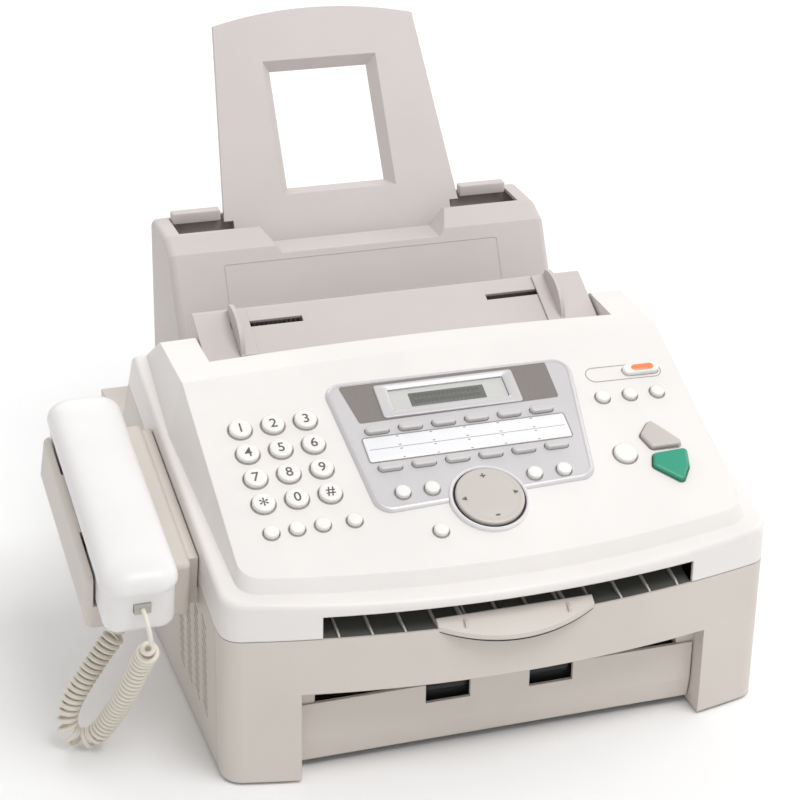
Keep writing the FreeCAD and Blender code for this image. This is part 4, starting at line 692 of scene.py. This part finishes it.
def add_digits():
    rings = []
    for index, (key, text) in enumerate(DIGIT_MARKS):
        x = DIGIT_FIRST[0] + DIGIT_PITCH[0] * (index % 3)
        centre = (x, DIGIT_FIRST[1] + DIGIT_PITCH[1] * (index // 3))
        put = at_level(crown(x))
        add(key + "_cap", dome(centre, DIGIT_RADIUS, DIGIT_RISE, put), "key_white", key)
        size = STAR_SIZE if text == "*" else DIGIT_SIZE
        add(key + "_mark", glyph(text, size, centre, DIGIT_HEIGHT, put), ink, key)
        rings.append(ring_round(centre, DIGIT_RADIUS, DIGIT_RING, on_panel))
    add("number_key_rings", merged(rings), ring_grey, "cover")


def add_small_keys():
    sets = (
        ("function_keys", SMALL_KEYS, SMALL_RADIUS), ("mode_keys", MODE_KEYS, SMALL_RADIUS),
        ("caller_keys", CALLER_KEYS, SMALL_RADIUS), ("stop_key", (STOP_KEY,), STOP_RADIUS),
    )
    rings = []
    for key, places, radius in sets:
        on_trim = key == "caller_keys"
        domes = []
        for centre in places:
            put = on_bezel if on_trim else at_level(crown(centre[0]))
            domes.append(dome(centre, radius, SMALL_RISE, put))
            rings.append(ring_round(centre, radius, SMALL_RING, on_bezel if on_trim else on_panel))
        add(key + "_caps", merged(domes), "key_white", key)
    add("small_key_rings", merged(rings), ring_grey, "cover")


# Silver trim with its rim, the display in its band, and the directory card between the one-touch keys
BEZEL = ((72.6, 117.2), (87.6, 22.6), (-74.8, 21.3), (-67.0, 122.7))
BEZEL_CORNER = 9.0
BEZEL_GAP = (-23.5, 26.0)
BEZEL_RIM = ((2.7, 0.0), (2.6, 0.25), (0.8, 0.94), (0.3, 1.0), (-0.9, 1.0), (-0.9, 0.7))
BEZEL_RIM_SINK, BEZEL_RIM_RISE = 0.1, 0.25
BAND = ((72.4, 23.2), (72.0, 53.0), (-61.6, 54.4), (-67.2, 23.2))
BAND_CORNER = 1.6
BAND_LOW, BAND_HIGH = -0.1, 0.25
FRAME_LOW, FRAME_HIGH = (-45.2, 26.0), (47.7, 53.2)
FRAME_CORNER = 2.0
WINDOW_LOW, WINDOW_HIGH = (-37.0, 30.5), (40.4, 47.5)
WINDOW_CORNER = 0.8
SCREEN_LOW, SCREEN_HIGH = (-24.3, 34.4), (26.0, 45.4)
SCREEN_CORNER = 0.6
DISPLAY_SINK = 0.8
CELL_COLUMNS, CELL_ROWS = 16, 2
CELL_SIZE = (2.4, 3.4)
CELL_MARGIN = (3.0, 3.2)
CELL_ROW_PITCH = 4.6
CARD_LOW, CARD_HIGH = (-63.5, 67.0), (70.0, 86.0)
CARD_CORNER = 1.4
CARD_FACE = 0.3
TICK_HALF = (0.9, 0.35)
TICK_EDGE, TICK_MIDDLE = 1.0, 1.6
RULE_MARGIN, RULE_HALF = 2.0, 0.2
ONE_TOUCH_KEYS = 6
ONE_TOUCH_FIRST = (-52.4, 61.7)
ONE_TOUCH_PITCH = 21.9
ONE_TOUCH_ROWS = 30.0
ONE_TOUCH_SIZE = (15.5, 5.6)
ONE_TOUCH_BACK = 0.25
ONE_TOUCH_STEPS = ((0.0, -0.1), (0.1, 0.15), (0.6, 0.4), (1.6, 0.5))


def bezel_edge(distance):
    """Outline of the silver trim moved outwards, open where the navigation ring covers it."""
    outline = inset(rounded(BEZEL, BEZEL_CORNER, 10), -distance)
    first, last = Vector(outline[0]), Vector(outline[-1])
    ends = []
    for x in BEZEL_GAP:
        ends.append(tuple(last.lerp(first, (x - last.x) / (first.x - last.x))))
    return [ends[1]] + outline + [ends[0]]


def bezel_rim():
    """Sloping edge from the silver trim down to the crowned panel."""
    rows = []
    for distance, share in BEZEL_RIM:
        row = []
        for x, v in bezel_edge(distance):
            low, high = crown(x) - BEZEL_RIM_SINK, BEZEL_TOP + BEZEL_RIM_RISE
            row.append(panel_frame(x, -v, low + (high - low) * share))
        rows.append(row)
    return through(list(zip(*rows)))


def frame_outline(grow=0.0):
    low = (FRAME_LOW[0] - grow, FRAME_LOW[1] - grow)
    high = (FRAME_HIGH[0] + grow, FRAME_HIGH[1] + grow)
    return round_rect(low[0], high[0], low[1], high[1], FRAME_CORNER + grow)


def window_frame():
    """Silver frame that slopes down to the sunk display glass."""
    outer = frame_outline()
    edge = round_rect(WINDOW_LOW[0], WINDOW_HIGH[0], WINDOW_LOW[1], WINDOW_HIGH[1], WINDOW_CORNER)
    rings = [
        (outer, -0.1), (outer, 0.9), (inset(outer, 0.5), 1.3), (inset(edge, -1.6), 1.3), (edge, 0.3),
        (edge, -DISPLAY_SINK + 0.05),
    ]
    return rings_mesh(rings, on_bezel, closed=True)


def display_band():
    """Dark band that the display's frame stands in."""
    outer = rounded(BAND, BAND_CORNER, 8)
    inner = frame_outline(-0.3)
    rings = [(outer, BAND_LOW), (outer, BAND_HIGH), (inner, BAND_HIGH), (inner, BAND_LOW)]
    return rings_mesh(rings, on_bezel, closed=True)


def card_lines():
    """Ticks between the card's cells, and the rule along its middle."""
    parts = []
    middle = (CARD_LOW[1] + CARD_HIGH[1]) / 2
    width = (CARD_HIGH[0] - CARD_LOW[0]) / ONE_TOUCH_KEYS
    across, down = TICK_HALF
    rows = (CARD_LOW[1] + TICK_EDGE, middle - TICK_MIDDLE, middle + TICK_MIDDLE, CARD_HIGH[1] - TICK_EDGE)
    for index in range(1, ONE_TOUCH_KEYS):
        x = CARD_LOW[0] + index * width
        for v in rows:
            tick = round_rect(x - across, x + across, v - down, v + down, 0.3, 3)
            parts.append(plate(tick, CARD_FACE, CARD_FACE + 0.2, 0.05, on_bezel))
    x0, x1 = CARD_LOW[0] + RULE_MARGIN, CARD_HIGH[0] - RULE_MARGIN
    rule = round_rect(x0, x1, middle - RULE_HALF, middle + RULE_HALF, 0.15, 3)
    parts.append(plate(rule, CARD_FACE, CARD_FACE + 0.16, 0.04, on_bezel))
    return merged(parts)


def screen_cells():
    """Faint rows of blank character cells."""
    parts = []
    pitch = (SCREEN_HIGH[0] - SCREEN_LOW[0] - 2 * CELL_MARGIN[0]) / CELL_COLUMNS
    across, down = CELL_SIZE[0] / 2, CELL_SIZE[1] / 2
    for row in range(CELL_ROWS):
        v = SCREEN_LOW[1] + CELL_MARGIN[1] + row * CELL_ROW_PITCH
        for column in range(CELL_COLUMNS):
            x = SCREEN_LOW[0] + CELL_MARGIN[0] + (column + 0.5) * pitch
            cell = round_rect(x - across, x + across, v - down, v + down, 0.2, 2)
            parts.append(plate(cell, -DISPLAY_SINK + 0.1, -DISPLAY_SINK + 0.2, 0.03, on_bezel))
    return merged(parts)


def add_display():
    add("bezel_rim", bezel_rim(), "silver_trim", "cover")
    add("display_band", display_band(), band_grey, "cover")
    add("display_frame", window_frame(), "silver_trim", "cover")
    screen = round_rect(SCREEN_LOW[0], SCREEN_HIGH[0], SCREEN_LOW[1], SCREEN_HIGH[1], SCREEN_CORNER)
    low, high = -DISPLAY_SINK - 0.1, -DISPLAY_SINK + 0.12
    add("display_screen", plate(screen, low, high, 0.05, on_bezel), "lcd_grey", "cover")
    add("display_cells", screen_cells(), cell_shade, "cover")
    card = round_rect(CARD_LOW[0], CARD_HIGH[0], CARD_LOW[1], CARD_HIGH[1], CARD_CORNER)
    add("directory_card", plate(card, -0.1, CARD_FACE + 0.05, 0.12, on_bezel), card_white, "cover")
    add("directory_lines", card_lines(), ring_grey, "cover")
    # A real frame round the card; its dark grey is painted shadow, the line the frame casts along the
    # card's edges.
    border = hoop(inset(card, -0.7), 0.6, -0.1, 0.6, 0.12, on_bezel)
    add("directory_frame_and_shadow", border, ring_grey, "cover")


def add_one_touch():
    for row, key in enumerate(("one_touch_upper_keys", "one_touch_lower_keys")):
        caps = []
        v = ONE_TOUCH_FIRST[1] + ONE_TOUCH_ROWS * row
        for index in range(ONE_TOUCH_KEYS):
            centre = (ONE_TOUCH_FIRST[0] + ONE_TOUCH_PITCH * index, v)
            shape = pill(centre, ONE_TOUCH_SIZE, -ONE_TOUCH_BACK)
            caps.append(stepped(shape, ONE_TOUCH_STEPS, KEY_PROUD, on_bezel))
        add(key + "_caps", merged(caps), "key_grey", key)


# Navigation disc with its ring, arrows and signs
DISC = (1.5, 125.3)
DISC_RADIUS = 21.5
DISC_SIDES = 96
DISC_STEPS = (
    (0.3, -0.1), (0.4, 0.15), (1.0, 0.42), (2.0, 0.5), (3.0, 0.42), (3.6, 0.3), (4.4, 0.42), (7.0, 0.7),
    (11.5, 0.95), (16.5, 1.1), (20.9, 1.15),
)
DISC_MARK_HEIGHT = KEY_PROUD + 0.78
ARROW_OUT, ARROW_SIZE = 16.4, 2.0
SIGN_OUT, PLUS_SIZE, MINUS_SIZE = 15.5, 7.0, 10.0
DISC_RING_OUT, DISC_RING = 3.6, 2.2
DISC_GROOVE_OUT, DISC_GROOVE = 1.5, 1.1


def triangle(centre, size, way, height, put):
    x, v = centre
    back, half = x - way * size * 0.5, size * 0.75
    corners = ((x + way * size, v), (back, v + half), (back, v - half))
    return plate(corners, height - 0.05, height + 0.06, 0.02, put)


def disc_marks():
    x, v = DISC
    return merged([
        triangle((x - ARROW_OUT, v), ARROW_SIZE, -1, DISC_MARK_HEIGHT, on_bezel),
        triangle((x + ARROW_OUT, v), ARROW_SIZE, 1, DISC_MARK_HEIGHT, on_bezel),
        glyph("+", PLUS_SIZE, (x, v - SIGN_OUT), DISC_MARK_HEIGHT, on_bezel),
        glyph("-", MINUS_SIZE, (x, v + SIGN_OUT), DISC_MARK_HEIGHT, on_bezel),
    ])


def add_disc():
    rings = [(circle(DISC, DISC_RADIUS - back, DISC_SIDES), KEY_PROUD + rise) for back, rise in DISC_STEPS]
    add("navigation_disc_face", rings_mesh(rings, on_bezel), "key_beige", "navigation_disc")
    add("navigation_marks", disc_marks(), ink, "navigation_disc")
    edge = circle(DISC, DISC_RADIUS + DISC_RING_OUT, DISC_SIDES)
    add("navigation_ring", hoop(edge, DISC_RING, -3.5, 1.5, 0.7, on_bezel), bright_trim, "cover")
    # Painted shade: a dark ring at the foot of the gap between the disc and its silver ring, where shade
    # falls.
    edge = circle(DISC, DISC_RADIUS + DISC_GROOVE_OUT, DISC_SIDES)
    add("navigation_gap_shade", hoop(edge, DISC_GROOVE, -3.2, 0.4, 0.1, on_bezel), "dark_plastic", "cover")


# Start keys' caps, and the answer key with its light
COPY_OUTLINE = ((114.7, 91.4), (124.9, 80.3), (141.5, 102.8), (118.8, 102.8))
FAX_OUTLINE = ((117.9, 107.4), (141.0, 106.4), (137.5, 120.5), (129.5, 132.0), (114.2, 117.0))
START_CORNER = 2.5
START_RING_OUT, START_RING = 1.1, 0.5
START_RING_HIGH = 0.25
CAP_BACK = 0.3
CAP_STEPS = ((0.0, -0.1), (0.1, 0.2), (0.6, 0.5), (1.4, 0.7), (2.0, 0.76))
ANSWER = (135.6, 36.3)
ANSWER_SIZE = (25.0, 8.0)
LIGHT_SHIFT = 1.0
LIGHT_SIZE = (15.5, 5.0)
LIGHT_STEPS = ((0.0, 0.5), (0.0, 0.9), (0.5, 1.15), (1.4, 1.25))
ANSWER_FIELD, ANSWER_FIELD_SIZE = (123.5, 36.8), (53.0, 12.4)


def soft_cap(outline, put):
    return stepped(inset(outline, CAP_BACK), CAP_STEPS, KEY_PROUD, put)


def add_start_keys():
    rows = (("copy_start_key", COPY_OUTLINE, "key_beige"), ("fax_start_key", FAX_OUTLINE, "key_green"))
    borders = []
    for key, corners, slot in rows:
        middle = sum(x for x, _ in corners) / len(corners)
        outline = rounded(corners, START_CORNER)
        add(key + "_cap", soft_cap(outline, at_level(crown(middle))), slot, key)
        edge = inset(outline, -START_RING_OUT)
        borders.append(hoop(edge, START_RING, RING_LOW, START_RING_HIGH, RING_CHAMFER, on_panel))
    add("start_key_rings", merged(borders), ring_grey, "cover")


def add_answer_key():
    put = at_level(crown(ANSWER[0]))
    add("answer_key_cap", soft_cap(pill(ANSWER, ANSWER_SIZE), put), "key_white", "answer_key")
    light = pill((ANSWER[0] + LIGHT_SHIFT, ANSWER[1]), LIGHT_SIZE)
    add("answer_light", stepped(light, LIGHT_STEPS, KEY_PROUD, put), light_orange, "answer_key")
    field = hoop(pill(ANSWER_FIELD, ANSWER_FIELD_SIZE), 0.5, RING_LOW, 0.3, 0.1, on_panel)
    add("answer_outline", field, ring_grey, "cover")


# Front: painted shade in the upper slot (dark strips on the shelf), a painted shadow under the tongue, the
# tongue's ribs, and the exit guide behind the flap
BODY_HALF = 176.0
FRONT_BOW = 23.0
BOW_RADIUS = (BODY_HALF ** 2 + FRONT_BOW ** 2) / (2 * FRONT_BOW)
SLOT_HALF = 118.7
SHELF_RIBS = 12
SHELF_FRONT, SHELF_REAR = -9.5, 23.0
SHELF_LOW, SHELF_HIGH = 100.0, 108.0
SHELF_RIB_HALF = 0.6
SHELF_RIB_RISE = 2.5
STRIP_GAP = 0.15
STRIP_FRONT, STRIP_REAR = 1.4, 0.4
STRIP_RISE, STRIP_THICKNESS = 0.3, 0.25
STRIP_ROWS, STRIP_COLUMNS = 5, 4
TONGUE_HALF, TONGUE_TIP = 50.0, -32.0
TONGUE_LOW, TONGUE_HIGH = 92.0, 102.0
TONGUE_BACK = 4.0
TONGUE_RIB_X, TONGUE_RIB_HALF = 33.0, 0.9
TONGUE_RIB_FRONT, TONGUE_RIB_REAR = 2.2, 2.0
SHADE_MARGIN, SHADE_STEPS = 0.6, 40
GUIDE_HALF, GUIDE_LOW, GUIDE_HIGH = 119.0, 22.0, 46.0
GUIDE_FRONT, GUIDE_REAR = 9.0, 12.0
FINGER_X, FINGER_HALF = 34.0, 12.5
FINGER_Y, FINGER_Z = 9.2, 41.5
FINGER_DEPTH, FINGER_RISE = 3.4, 3.6
FINGER_STEPS = 8


def bow_at(x):
    """Place of the bowed front."""
    return BOW_RADIUS - FRONT_BOW - math.sqrt(BOW_RADIUS ** 2 - x ** 2)


def shelf_height(y):
    return SHELF_LOW + (SHELF_HIGH - SHELF_LOW) * max(0.0, y - SHELF_FRONT) / (SHELF_REAR - SHELF_FRONT)


def shelf_strip(x0, x1):
    """Painted shade: a dark strip on the shelf between two ribs, where the slot lies in shade."""
    rows = []
    for i in range(STRIP_ROWS + 1):
        row = []
        for k in range(STRIP_COLUMNS + 1):
            x = x0 + (x1 - x0) * k / STRIP_COLUMNS
            front = bow_at(x) + STRIP_FRONT
            y = front + (SHELF_REAR - STRIP_REAR - front) * i / STRIP_ROWS
            row.append((x, y, shelf_height(y) + STRIP_RISE))
        rows.append(row)
    return sheet(rows, STRIP_THICKNESS)


def shelf_rib_end(x):
    """Low front end of a shelf rib."""
    front, back = bow_at(x) + 1.0, SHELF_FRONT + 0.4
    rises = ((front, 0.0), (back, 0.0), (back, SHELF_RIB_RISE), (front + 0.6, 0.7))
    profile = [(y, SHELF_LOW + rise) for y, rise in rises]
    return bar_between(x - SHELF_RIB_HALF, x + SHELF_RIB_HALF, profile)


def add_shelf():
    pitch = 2 * SLOT_HALF / SHELF_RIBS
    ribs = [(index + 0.5) * pitch - SLOT_HALF for index in range(SHELF_RIBS)]
    edges = [-SLOT_HALF] + ribs + [SLOT_HALF]
    clear = SHELF_RIB_HALF + STRIP_GAP
    strips = [shelf_strip(left + clear, right - clear) for left, right in zip(edges, edges[1:])]
    # the dark strips paint the shade that falls on the shelf inside the upper slot
    add("shelf_painted_shade", merged(strips), shelf_shade, "base")
    add("shelf_rib_ends", merged([shelf_rib_end(x) for x in ribs]), "case_grey", "base")


def tongue_edge(x):
    """Place of the tongue's lower front edge."""
    edge = bow_at(TONGUE_HALF)
    sag = edge - TONGUE_TIP
    radius = (TONGUE_HALF ** 2 + sag ** 2) / (2 * sag)
    y = TONGUE_TIP + radius - math.sqrt(radius ** 2 - x ** 2)
    back = edge + TONGUE_BACK
    return y, TONGUE_LOW + (TONGUE_HIGH - TONGUE_LOW) * (y - TONGUE_TIP) / (back - TONGUE_TIP)


def add_tongue_shade():
    """Painted shadow: a dark strip under the tongue's front edge, where the tongue casts its shadow."""
    rows = [[], []]
    reach = TONGUE_HALF - SHADE_MARGIN
    for i in range(SHADE_STEPS + 1):
        x = -reach + 2 * reach * i / SHADE_STEPS
        y, z = tongue_edge(x)
        rows[0].append((x, y + 0.3, z))
        rows[1].append((x, y + 2.4, z + 1.2))
    # painted shadow under the tongue's lip, in the dark finish
    add("tongue_shade", sheet(rows, 1.1), "dark_plastic", "base")


def finger_bar(x):
    """Rounded bar that shows in a notch of the flap."""
    profile = []
    for i in range(FINGER_STEPS + 1):
        a = math.pi * i / FINGER_STEPS
        profile.append((FINGER_Y - FINGER_DEPTH * math.sin(a), FINGER_Z - FINGER_RISE * math.cos(a)))
    return bar_between(x - FINGER_HALF, x + FINGER_HALF, profile)


def add_exit_guide():
    """Dark guide behind the flap, held between the slot's jambs, with two finger bars."""
    wall = round_rect(-GUIDE_HALF, GUIDE_HALF, GUIDE_LOW, GUIDE_HIGH, 1.0)
    parts = [rings_mesh([(wall, GUIDE_FRONT), (wall, GUIDE_REAR)], upright)]
    parts += [finger_bar(-FINGER_X), finger_bar(FINGER_X)]
    add("exit_guide", merged(parts), "dark_plastic", "base")


def add_tongue_ribs():
    front, rear = bow_at(TONGUE_RIB_X) - TONGUE_RIB_FRONT, TONGUE_RIB_REAR
    profile = ((front, 99.2), (rear, 102.4), (rear, 104.6), (front + 1.0, 103.2), (front, 101.8))
    parts = []
    for x in (-TONGUE_RIB_X, TONGUE_RIB_X):
        parts.append(bar_between(x - TONGUE_RIB_HALF, x + TONGUE_RIB_HALF, profile))
    add("tongue_ribs", merged(parts), "case_grey", "base")


# Hopper: lips beside the paper support's foot and the lined field on its face
HOOD_LEAN = math.radians(62.0)
HOOD_FOOT_Y, HOOD_FOOT_Z = 274.4, 187.0
LIP_INNER, LIP_OUTER = 88.5, 123.0
LIP_FRONT, LIP_REAR = 339.5, 347.5
LIP_LOW, LIP_HIGH = 231.0, 238.6
FIELD_HALF, FIELD_LOW, FIELD_HIGH = 99.0, 190.5, 217.5
FIELD_LINE = 0.45


def hood_face(x, z, out):
    y = HOOD_FOOT_Y + (z - HOOD_FOOT_Z) / math.tan(HOOD_LEAN)
    return body(x, y - out * math.sin(HOOD_LEAN), z + out * math.cos(HOOD_LEAN))


def add_hopper_details():
    lips = []
    for x0, x1 in ((-LIP_OUTER, -LIP_INNER), (LIP_INNER, LIP_OUTER)):
        lips.append(plate(round_rect(x0, x1, LIP_FRONT, LIP_REAR, 1.2, 4), LIP_LOW, LIP_HIGH, 1.0, body))
    add("slot_lips", merged(lips), "hopper_grey", "base")
    outline = round_rect(-FIELD_HALF, FIELD_HALF, FIELD_LOW, FIELD_HIGH, 1.5, 4)
    add("hopper_field_line", hoop(outline, FIELD_LINE, -0.2, 0.3, 0.1, hood_face), "hopper_grey", "base")


# Rear: socket mouths with their contacts, and a louvred vent. A contact is a place and a width;
# a socket is a place, a width, a height, its contacts and their length.
LINE_CONTACTS = ((-1.8, 0.5), (-0.6, 0.5), (0.6, 0.5), (1.8, 0.5))
POWER_CONTACTS = ((-5.0, 2.0), (5.0, 2.0))
SOCKETS = (
    (-60.0, 15.0, 13.0, LINE_CONTACTS, 2.5),
    (-38.0, 15.0, 13.0, LINE_CONTACTS, 2.5),
    (90.0, 30.0, 24.0, POWER_CONTACTS, 9.0),
)
SOCKET_Z = 40.0
SOCKET_WALL, SOCKET_LIP = 2.6, 1.6
SOCKET_FLOOR = 336.5
CONTACT_HEIGHT = 5.5
LOUVRE_X = (-20.0, 56.0)
LOUVRE_Z = (62.0, 108.0)
LOUVRES = 9
LOUVRE_HALF = 1.5
LOUVRE_SHADE_STEPS = ((0.0, -0.1), (0.0, 0.15), (0.1, 0.25))


def socket_mouth(x, width, height):
    outer = centred(x, SOCKET_Z, width + SOCKET_LIP, height + SOCKET_LIP, 1.2)
    inner = centred(x, SOCKET_Z, width - 2 * SOCKET_WALL, height - 2 * SOCKET_WALL, 0.6)
    wider = inset(inner, -0.3)
    rings = [(outer, REAR_Y - 0.1), (outer, REAR_Y + 0.5), (inset(outer, 0.3), REAR_Y + 0.8)]
    rings += [(wider, REAR_Y + 0.8), (inner, REAR_Y + 0.5), (inner, SOCKET_FLOOR)]
    bottom = [(wider, SOCKET_FLOOR - 0.8), (wider, SOCKET_FLOOR)]
    return merged([rings_mesh(rings, upright, closed=True), rings_mesh(bottom, upright)])


def add_sockets():
    mouths, blades = [], []
    for x, width, height, contacts, length in SOCKETS:
        mouths.append(socket_mouth(x, width, height))
        for shift, thickness in contacts:
            blade = centred(x + shift, SOCKET_Z, thickness, CONTACT_HEIGHT, 0.2)
            rings = [(blade, SOCKET_FLOOR - 0.2), (blade, SOCKET_FLOOR + length)]
            blades.append(rings_mesh(rings, upright))
    add("socket_mouths", merged(mouths), "dark_plastic", "base")
    add("socket_contacts", merged(blades), "steel", "base")


def add_louvres():
    x0, x1 = LOUVRE_X
    z0, z1 = LOUVRE_Z
    back = round_rect(x0, x1, z0, z1, 2.0)
    add("louvre_shade", stepped(back, LOUVRE_SHADE_STEPS, REAR_Y, upright), shelf_shade, "base")
    slats = [hoop(inset(back, -1.6), 1.8, REAR_Y - 0.1, REAR_Y + 1.0, 0.4, upright)]
    pitch = (z1 - z0) / LOUVRES
    for index in range(LOUVRES):
        z = z0 + (index + 0.5) * pitch
        slat = round_rect(x0 - 0.1, x1 + 0.1, z - LOUVRE_HALF, z + LOUVRE_HALF, 0.6, 4)
        slats.append(plate(slat, REAR_Y, REAR_Y + 0.9, 0.4, upright))
    add("louvre_slats", merged(slats), "case_grey", "base")


# Floor and light, in metres and watts. A light is a name, a place, a target, a size and a power.
FLOOR_HALF = 6.0
WORLD_STRENGTH = 0.62
LIGHTS = (
    ("key_light", (0.5, -1.0, 2.2), (0.0, 0.0, 0.1), 1.4, 26.0),
    ("side_light", (1.8, 0.3, 1.2), (0.0, 0.0, 0.1), 1.2, 7.0),
    ("floor_light", (-0.2, 2.3, 1.6), (-0.2, 1.9, 0.0), 2.2, 20.0),
)


def add_floor():
    half = FLOOR_HALF
    corners = [(-half, -half, 0), (half, -half, 0), (half, half, 0), (-half, half, 0)]
    mesh = bpy.data.meshes.new("floor")
    mesh.from_pydata(corners, [], [(0, 1, 2, 3)])
    floor = bpy.data.objects.new("floor", mesh)
    scene.collection.objects.link(floor)
    mesh.materials.append(finish("floor_paint", "F7F7F7", 0.9, grain=200.0, bump=0.0, tint=0.005))


def add_lights():
    world = bpy.data.worlds.new("studio")
    scene.world = world
    world.use_nodes = True
    background = world.node_tree.nodes["Background"]
    background.inputs["Color"].default_value = (1.0, 1.0, 1.0, 1.0)
    background.inputs["Strength"].default_value = WORLD_STRENGTH
    for name, place, target, size, power in LIGHTS:
        data = bpy.data.lights.new(name, "AREA")
        data.shape = "DISK"
        data.size = size
        data.energy = power
        lamp = bpy.data.objects.new(name, data)
        scene.collection.objects.link(lamp)
        lamp.location = place
        lamp.rotation_euler = (Vector(target) - Vector(place)).to_track_quat("-Z", "Y").to_euler()
    scene.view_settings.view_transform = "Standard"


add_camera()
add_cord()
add_handset()
add_digits()
add_small_keys()
add_display()
add_one_touch()
add_disc()
add_start_keys()
add_answer_key()
add_shelf()
add_tongue_shade()
add_exit_guide()
add_tongue_ribs()
add_hopper_details()
add_sockets()
add_louvres()
add_floor()
add_lights()
